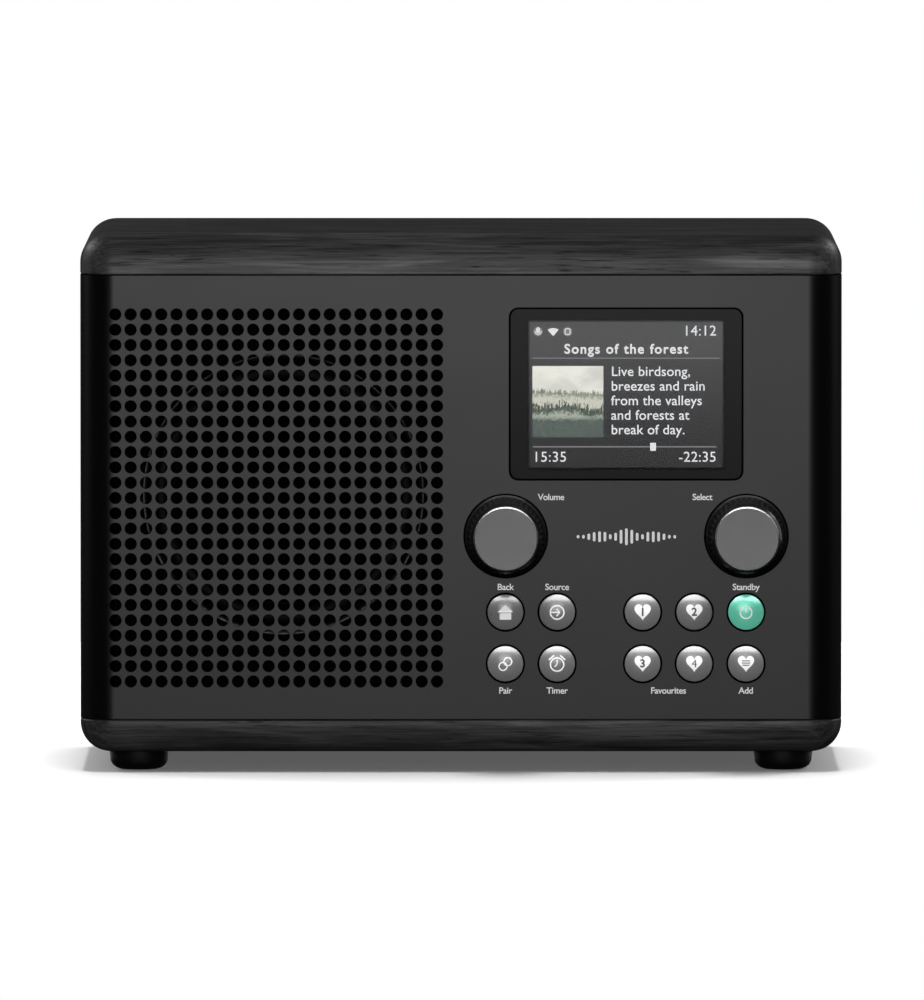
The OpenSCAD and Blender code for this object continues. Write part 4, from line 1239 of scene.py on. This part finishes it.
class RADIO_OT_sleeve(bpy.types.Operator):
    """Folded sheet with its grille, window and control holes"""

    bl_idname = "radio.sleeve"
    bl_label = "Sleeve"

    def execute(self, context):
        scene = context.scene
        piece = sleeve_sheet(scene.radio_cabinet, scene.radio_grille, scene.radio_controls)
        coat = powder_coat("charcoal_coat", tuple(scene.radio_cabinet.coat))
        settle(piece, "cabinet", coat, "front_shell", "sleeve_paint")
        return {"FINISHED"}


class RADIO_OT_feet(bpy.types.Operator):
    """Four rubber feet"""

    bl_idname = "radio.feet"
    bl_label = "Feet"

    def execute(self, context):
        rubber = moulded("foot_rubber", (0.008, 0.008, 0.008), 0.5, 1100.0)
        for place in ("front_left", "front_right", "rear_left", "rear_right"):
            node = f"foot_{place}"
            piece = foot_piece(f"{node}_tread", middle(node))
            settle(piece, "cabinet", rubber, node, "foot_rubber")
        return {"FINISHED"}


class RADIO_OT_display(bpy.types.Operator):
    """Window, backlit background and what the display shows"""

    bl_idname = "radio.display"
    bl_label = "Display"

    def execute(self, context):
        settings = context.scene.radio_display
        low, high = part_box("display_lens")
        at = (low + high) / 2
        wide, tall = settings.lit_width, settings.lit_height
        lit_low = Vector((at.x - wide / 2, 0, at.z - tall / 2 - 0.35 * MM))
        lit_high = Vector((at.x + wide / 2, 0, at.z + tall / 2 - 0.35 * MM))
        edge = 0.3 * MM
        front, back = FRONT - low.y, FRONT - high.y

        def outline(inset):
            return rounded_loop(high.x - low.x - 2 * inset, high.z - low.z - 2 * inset,
                                settings.corner - inset, 10, (at.x, at.z))

        levels = [(0, back), (0, front - edge), (edge * 0.35, front - edge * 0.3), (edge, front)]
        window = slab("smoked_window", outline, levels, 12.0)
        gloss = window_gloss("smoked_gloss", (lit_low, lit_high, 1.3 * MM))
        settle(window, "cabinet", gloss, "display_lens", "window")
        self.draw_screen(settings, lit_low, lit_high)
        return {"FINISHED"}

    def draw_screen(self, settings, low, high):
        """Background, picture and white signs, each a little nearer the window than the last."""
        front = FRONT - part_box("lcd_panel")[0].y
        layer = 0.05 * MM

        def rectangle(x0, z0, x1, z1):
            corners = np.array([(x0, z0), (x1, z0), (x1, z1), (x0, z1)])
            return corners, [[0, 1, 2], [0, 2, 3]]

        def flat(level):
            return lambda x, z: np.full(len(x), front + level * layer)

        glow = settings.glow
        bleed = 1.4 * MM                    # light that spreads past the picture's edge
        spread = rectangle(low.x - bleed, low.z - bleed, high.x + bleed, high.z + bleed)
        field = laid_on("screen_field", [spread], flat(1))
        settle(field, "cabinet", lit_background("backlight", low.z, high.z, glow), slot="lcd")
        left, right, top = low.x + 0.55 * MM, high.x - 0.55 * MM, high.z
        picture_low = Vector((left, 0, top - 34.6 * MM))
        picture_high = Vector((left + 21.4 * MM, 0, top - 13.1 * MM))
        picture = laid_on("screen_picture",
                          [rectangle(picture_low.x, picture_low.z, picture_high.x, picture_high.z)], flat(2))
        settle(picture, "cabinet", misty_hills("hill_view", picture_low, picture_high, glow), slot="lcd")
        rail, row = top - 37.5 * MM, top - 2.7 * MM
        faint = [rectangle(left, top - 10.85 * MM, right, top - 10.6 * MM),
                 rectangle(left + 0.1 * MM, rail - 0.2 * MM, right - 1.0 * MM, rail + 0.2 * MM)]
        faint += [filled([arc((left + x * MM, row), 1.4 * MM, 0, 345, 24)]) for x in (1.7, 10.6)]
        faint_lines = laid_on("screen_rules", faint, flat(2))
        settle(faint_lines, "cabinet", print_ink("screen_dim", (0.22, 0.22, 0.22), 0.9 * glow), slot="lcd")
        signs = laid_on("screen_signs", self.signs(settings, left, right, top, rectangle), flat(3))
        settle(signs, "cabinet", print_ink("screen_bright", (0.86, 0.86, 0.86), 1.0 * glow), slot="lcd")

    def signs(self, settings, left, right, top, rectangle):
        """Clock, title, description, progress marker, times and status signs."""
        end = right - 0.95 * MM
        drawn = [words(settings.clock, 3.0 * MM, (end, top - 3.9 * MM), "RIGHT", 1.04),
                 words(settings.title, 2.8 * MM, ((left + right) / 2, top - 9.3 * MM), "CENTER", 1.16, 0.03),
                 words("15:35", 3.0 * MM, (left + 0.1 * MM, top - 42.0 * MM), "LEFT", 1.06),
                 words("-22:35", 3.0 * MM, (end, top - 42.0 * MM), "RIGHT", 1.03)]
        lines = ("Live birdsong,", "breezes and rain", "from the valleys", "and forests at", "break of day.")
        drawn += [
            words(line, 2.85 * MM, (left + 23.7 * MM, top - 16.1 * MM - number * 4.4 * MM),
                  "LEFT", 1.02, 0.008)
            for number, line in enumerate(lines)
        ]
        knob, rail = left + 36.4 * MM, top - 37.5 * MM
        drawn.append(rectangle(knob - 0.85 * MM, rail - 1.2 * MM, knob + 0.85 * MM, rail + 1.2 * MM))
        row = top - 2.7 * MM
        fan = [(0, -1.35), (-1.65, 0.55), (-0.85, 0.95), (0, 1.1), (0.85, 0.95), (1.65, 0.55)]
        drawn.append(filled([np.array(fan) * MM + (left + 6.25 * MM, row)]))
        speech = left + 1.7 * MM
        drawn.append(filled([rounded_loop(1.1 * MM, 1.8 * MM, 0.54 * MM, 6, (speech, row + 0.4 * MM))]))
        drawn.append(stroke(arc((speech, row + 0.1 * MM), 0.95 * MM, 180, 360, 12), 0.24 * MM))
        frame_sign = rounded_loop(1.5 * MM, 1.7 * MM, 0.3 * MM, 5, (left + 10.6 * MM, row))
        drawn.append(stroke(frame_sign, 0.26 * MM, True))
        return drawn


class RADIO_OT_buttons(bpy.types.Operator):
    """Ten domed buttons with their printed signs"""

    bl_idname = "radio.buttons"
    bl_label = "Buttons"

    def execute(self, context):
        settings = context.scene.radio_controls
        grey = button_gloss("button_grey", tuple(settings.grey))
        green = button_gloss("button_green", tuple(settings.green))
        white = print_ink("glyph_white", (0.46, 0.46, 0.46), 0.0)
        dark = print_ink("glyph_dark", (0.03, 0.03, 0.03), 0.0)
        dome = dome_height(settings)
        for kind in (*GREY_BUTTONS, "standby"):
            node = f"button_{kind}"
            at = middle(node)
            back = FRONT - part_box(node)[1].y
            finish, slot = (green, "button_green") if kind == "standby" else (grey, "button_grey")
            cap = button_cap(f"{node}_cap", at, settings, back)
            settle(cap, node, finish, node, slot)
            lit_group("controls").objects.link(cap)
            white_signs, dark_signs = glyph(kind)
            layers = ((white_signs, white, 0.03, "sign"), (dark_signs, dark, 0.06, "mark"))
            for drawings, ink, lift, label in layers:
                if drawings:
                    fitted = [subdivided(points * MM, faces, 0.7 * MM) for points, faces in drawings]
                    fitted = [(points + (at.x, at.z), faces) for points, faces in fitted]
                    laid = laid_on(f"{node}_{label}", fitted,
                                   lambda x, z: dome(np.hypot(x - at.x, z - at.z)) + lift * MM)
                    laid.data.shade_smooth()
                    settle(laid, node, ink, slot=slot)
                    lit_group("controls").objects.link(laid)
        return {"FINISHED"}


class RADIO_OT_dials(bpy.types.Operator):
    """Knurled dials with anodised caps"""

    bl_idname = "radio.dials"
    bl_label = "Dials"

    def execute(self, context):
        settings = context.scene.radio_controls
        plastic = moulded("dial_black", (0.003, 0.003, 0.003), 0.26, 2600.0, 0.06, 0.24)
        bright_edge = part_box("volume_knob_cap")[0].y + 0.12 * MM
        anodised = turned_metal("anodised_grey", tuple(settings.cap), 0.42, blast=0.3, cut=bright_edge)
        for dial in DIALS:
            at = middle(f"{dial}_knob")
            grip = dial_grip(f"{dial}_knob", at, settings)
            settle(grip, f"{dial}_dial", plastic, f"{dial}_knob", "dial_plastic")
            disc = dial_cap(f"{dial}_knob_cap", at)
            settle(disc, f"{dial}_dial", anodised, f"{dial}_knob_cap", "dial_cap")
            for piece in (grip, disc):
                lit_group("controls").objects.link(piece)
        return {"FINISHED"}


class RADIO_OT_front_print(bpy.types.Operator):
    """Control names and a plain row of level bars, printed on the sleeve"""

    bl_idname = "radio.front_print"
    bl_label = "Front print"

    def execute(self, context):
        size = 1.85 * MM
        above, below = 8.0 * MM, -9.1 * MM
        lift = 0.03 * MM
        named = {"back": ("Back", above), "source": ("Source", above), "standby": ("Standby", above),
                 "pair": ("Pair", below), "timer": ("Timer", below), "add": ("Add", below)}
        drawn = []
        for kind, (label, shift) in named.items():
            at = middle(f"button_{kind}")
            drop = -size / 2 + (shift if shift > 0 else shift + size / 2)
            baseline = at.z + drop + (-0.35 * MM if shift > 0 else 0.1 * MM)
            drawn.append(words(label, size, (at.x, baseline), "CENTER", 0.95, 0.02))
        third, fourth = middle("button_preset_3"), middle("button_preset_4")
        between = (third.x + fourth.x) / 2
        drawn.append(words("Favourites", size, (between, third.z + below + 0.1 * MM), "CENTER", 0.95, 0.02))
        for dial, label, side in (("volume", "Volume", 1), ("select", "Select", -1)):
            at = middle(f"{dial}_knob")
            reach = 13.7 * MM if side > 0 else 13.3 * MM
            drawn.append(words(label, size, (at.x + side * reach, at.z + 10.9 * MM), "CENTER", 0.93, 0.02))
        drawn += self.level_bars()
        labels = laid_on("front_print", drawn, lambda x, z: np.full(len(x), lift))
        # the white print glows (0.6): painted light that makes the labels brighter than the lamps light them
        settle(labels, "cabinet", print_ink("print_white_painted_glow", (0.8, 0.8, 0.8), 0.6), slot="sleeve_paint")
        return {"FINISHED"}

    def level_bars(self):
        """Row of rounded bars whose heights follow a swelling wave."""
        middle_x, middle_z = 49.9 * MM, 71.4 * MM
        count, step, width = 19, 1.62 * MM, 0.8 * MM
        bars = []
        for i in range(count):
            t = (i / (count - 1)) * 2 - 1
            tall = (1.0 + 4.1 * (1 - abs(t)) ** 0.7 * abs(math.cos(5.2 * t))) * MM
            at = (middle_x + t * step * (count - 1) / 2, middle_z)
            bars.append(filled([rounded_loop(width, tall, width * 0.49, 5, at)]))
        return bars


class RADIO_OT_speaker(bpy.types.Operator):
    """Driver's surround, cone, dust cap and bright frame lip behind the grille"""

    bl_idname = "radio.speaker"
    bl_label = "Loudspeaker"

    def execute(self, context):
        at = middle("speaker_cone")
        surround, cone, cap, lip = speaker_profiles()
        rubber = moulded("surround_rubber", (0.003, 0.003, 0.003), 0.5, 900.0, 0.15, 0.12)
        pulp = cone_pulp("cone_pulp", (0.004, 0.004, 0.0043))
        settle(turned("driver_surround", surround, at.x, at.z, 128), "cabinet", rubber, "speaker_surround",
               "surround_rubber")
        settle(turned("driver_cone", cone, at.x, at.z, 128), "cone", pulp, "speaker_cone", "cone_paper")
        settle(turned("driver_dust_cap", cap, at.x, at.z, 96), "cone", pulp, "speaker_dust_cap", "cone_paper")
        bright = turned_metal("lip_metal", (0.07, 0.07, 0.072), 0.3)
        settle(turned("driver_lip", lip, at.x, at.z, 160), "cabinet", bright, slot="basket")
        return {"FINISHED"}


class RADIO_OT_rear(bpy.types.Operator):
    """Rear cover, sockets and their printed names"""

    bl_idname = "radio.rear"
    bl_label = "Rear"

    def execute(self, context):
        plastic = moulded("cover_plastic", (0.022, 0.022, 0.0225), 0.55, 1500.0, 0.4)
        cover = dressed("rear_tray", "rear_cover", 0.25 * MM)
        settle(cover, "cabinet", plastic, "rear_cover", "cover_plastic")
        socket = moulded("socket_black", (0.01, 0.01, 0.01), 0.32, 2200.0, 0.1)
        for node in ("dc_jack", "headphone_jack", "aux_jack"):
            settle(dressed(f"{node}_body", node), "cabinet", socket, node, "socket_plastic")
        screws = dressed("rear_screw_set", "rear_screws", 0.15 * MM)
        oxide = turned_metal("black_oxide", (0.05, 0.05, 0.052), 0.38)
        settle(screws, "cabinet", oxide, "rear_screws", "screw_black")
        self.print_names()
        return {"FINISHED"}

    def print_names(self):
        """Socket names on the recess's floor; the rear is seen from behind, so the drawing is turned
        round."""
        face = COVER_BACK - 0.8 * MM + 0.03 * MM
        size = 2.0 * MM
        parts = []
        for node, label in (("headphone_jack", "Phones"), ("aux_jack", "Aux in"), ("usb_port", "Service"),
                            ("dc_jack", "DC in")):
            at = middle(node)
            points, faces = words(label, size, (0, 0))
            up = at.z + 6.6 * MM + points[:, 1]
            placed = np.stack([at.x - points[:, 0], np.full(len(points), face), up], -1)
            parts.append((placed, faces))
        names = joined("rear_print", parts)
        settle(names, "cabinet", print_ink("rear_ink", (0.5, 0.5, 0.5)), slot="cover_plastic")


class RADIO_OT_aerial(bpy.types.Operator):
    """Telescopic aerial with its fork and bush"""

    bl_idname = "radio.aerial"
    bl_label = "Aerial"

    def execute(self, context):
        plated = turned_metal("bright_plating", (0.72, 0.73, 0.74), 0.14, ring=2600.0)
        cast = turned_metal("fork_plating", (0.5, 0.51, 0.52), 0.25)
        bores = {2: 2.06 * MM, 3: 1.56 * MM}
        for number, bore in bores.items():
            node = f"aerial_tube_{number}"
            tube = tube_piece(f"{node}_sleeve", node, bore)
            settle(tube, f"aerial_section_{number}", plated, node, "aerial_metal")
        for node, body in (("aerial_tube_1", "aerial_mast"), ("aerial_tube_4", "aerial_section_4")):
            settle(dressed(f"{node}_finish", node, 0.12 * MM), body, plated, node, "aerial_metal")
        settle(dressed("aerial_fork_finish", "aerial_yoke", 0.12 * MM), "aerial_fork", cast, "aerial_yoke",
               "aerial_metal")
        settle(dressed("aerial_bush_finish", "aerial_socket", 0.1 * MM), "cabinet", cast, "aerial_socket",
               "aerial_metal")
        return {"FINISHED"}


class RADIO_OT_inner_parts(bpy.types.Operator):
    """Materials for the pieces that stay as packed"""

    bl_idname = "radio.inner_parts"
    bl_label = "Inner parts"

    def execute(self, context):
        finishes = {
            "black_plastic": moulded("carrier_black", (0.002, 0.002, 0.002), 0.85, 1200.0, gloss=0.04),
            "lcd": moulded("display_glass", (0.004, 0.004, 0.0045), 0.3, 3000.0, 0.02, 0.2),
            "silicone": moulded("keypad_silicone", (0.1, 0.105, 0.11), 0.6, 800.0),
            "circuit_board": circuit_board("solder_mask", (0.012, 0.075, 0.028)),
            "switch_metal": turned_metal("switch_steel", (0.4, 0.41, 0.42), 0.35),
            "shaft_metal": turned_metal("shaft_metal", (0.62, 0.63, 0.64), 0.3, ring=1800.0),
            "plunger_plastic": moulded("plunger_plastic", (0.7, 0.7, 0.66), 0.45),
            "basket": moulded("basket_paint", (0.01, 0.01, 0.011), 0.4, 1600.0),
            "magnet": turned_metal("magnet_steel", (0.3, 0.3, 0.31), 0.4),
            "spider_cloth": woven_cloth("spider_cloth", (0.55, 0.36, 0.12)),
            "coil_copper": turned_metal("coil_copper", (0.7, 0.3, 0.14), 0.3, ring=5000.0),
            "gasket_foam": moulded("gasket_foam", (0.006, 0.006, 0.006), 0.8, 500.0, 0.6),
            "screw_steel": turned_metal("zinc_steel", (0.5, 0.51, 0.52), 0.3),
            "wire_sheath": moulded("wire_sheath", (0.02, 0.02, 0.02), 0.45),
            "ribbon": striped_film("ribbon_film", (0.6, 0.62, 0.66)),
            "tin_shield": turned_metal("tin_plate", (0.5, 0.51, 0.53), 0.32),
        }
        slots = {s["node"]: s["material_slot"] for s in frame["record"]["subparts"]}
        for name, node in NODES.items():
            if node.hide_render:
                continue
            if slots[name] not in finishes:
                raise RuntimeError(f"no finish for {name} in slot {slots[name]}")
            if not node.material_slots:
                node.data.materials.append(None)
            for place in node.material_slots:
                place.material = finishes[slots[name]]
        return {"FINISHED"}


class RADIO_PT_panel(bpy.types.Panel):
    """Builds each group of the radio's pieces"""

    bl_label = "Tabletop radio"
    bl_idname = "RADIO_PT_panel"
    bl_space_type = "VIEW_3D"
    bl_region_type = "UI"
    bl_category = "Radio"

    def draw(self, context):
        for settings in SETTINGS:
            box = self.layout.box()
            group = getattr(context.scene, settings)
            for key in group.bl_rna.properties.keys():
                if key not in ("rna_type", "name"):
                    box.prop(group, key)
        for operator in OPERATORS:
            self.layout.operator(operator.bl_idname)


OPERATORS = (RADIO_OT_stage, RADIO_OT_wood_panels, RADIO_OT_sleeve, RADIO_OT_feet, RADIO_OT_display,
             RADIO_OT_buttons, RADIO_OT_dials, RADIO_OT_front_print, RADIO_OT_speaker, RADIO_OT_rear,
             RADIO_OT_aerial, RADIO_OT_inner_parts)


def register():
    for item in (*SETTINGS.values(), *OPERATORS, RADIO_PT_panel):
        bpy.utils.register_class(item)
    for name, group in SETTINGS.items():
        setattr(bpy.types.Scene, name, PointerProperty(type=group))


def unregister():
    for name in SETTINGS:
        delattr(bpy.types.Scene, name)
    for item in (RADIO_PT_panel, *reversed(OPERATORS), *reversed(list(SETTINGS.values()))):
        bpy.utils.unregister_class(item)


def main():
    register()
    for operator in OPERATORS:
        category, name = operator.bl_idname.split(".")
        getattr(getattr(bpy.ops, category), name)()


if __name__ == "__main__":
    main()
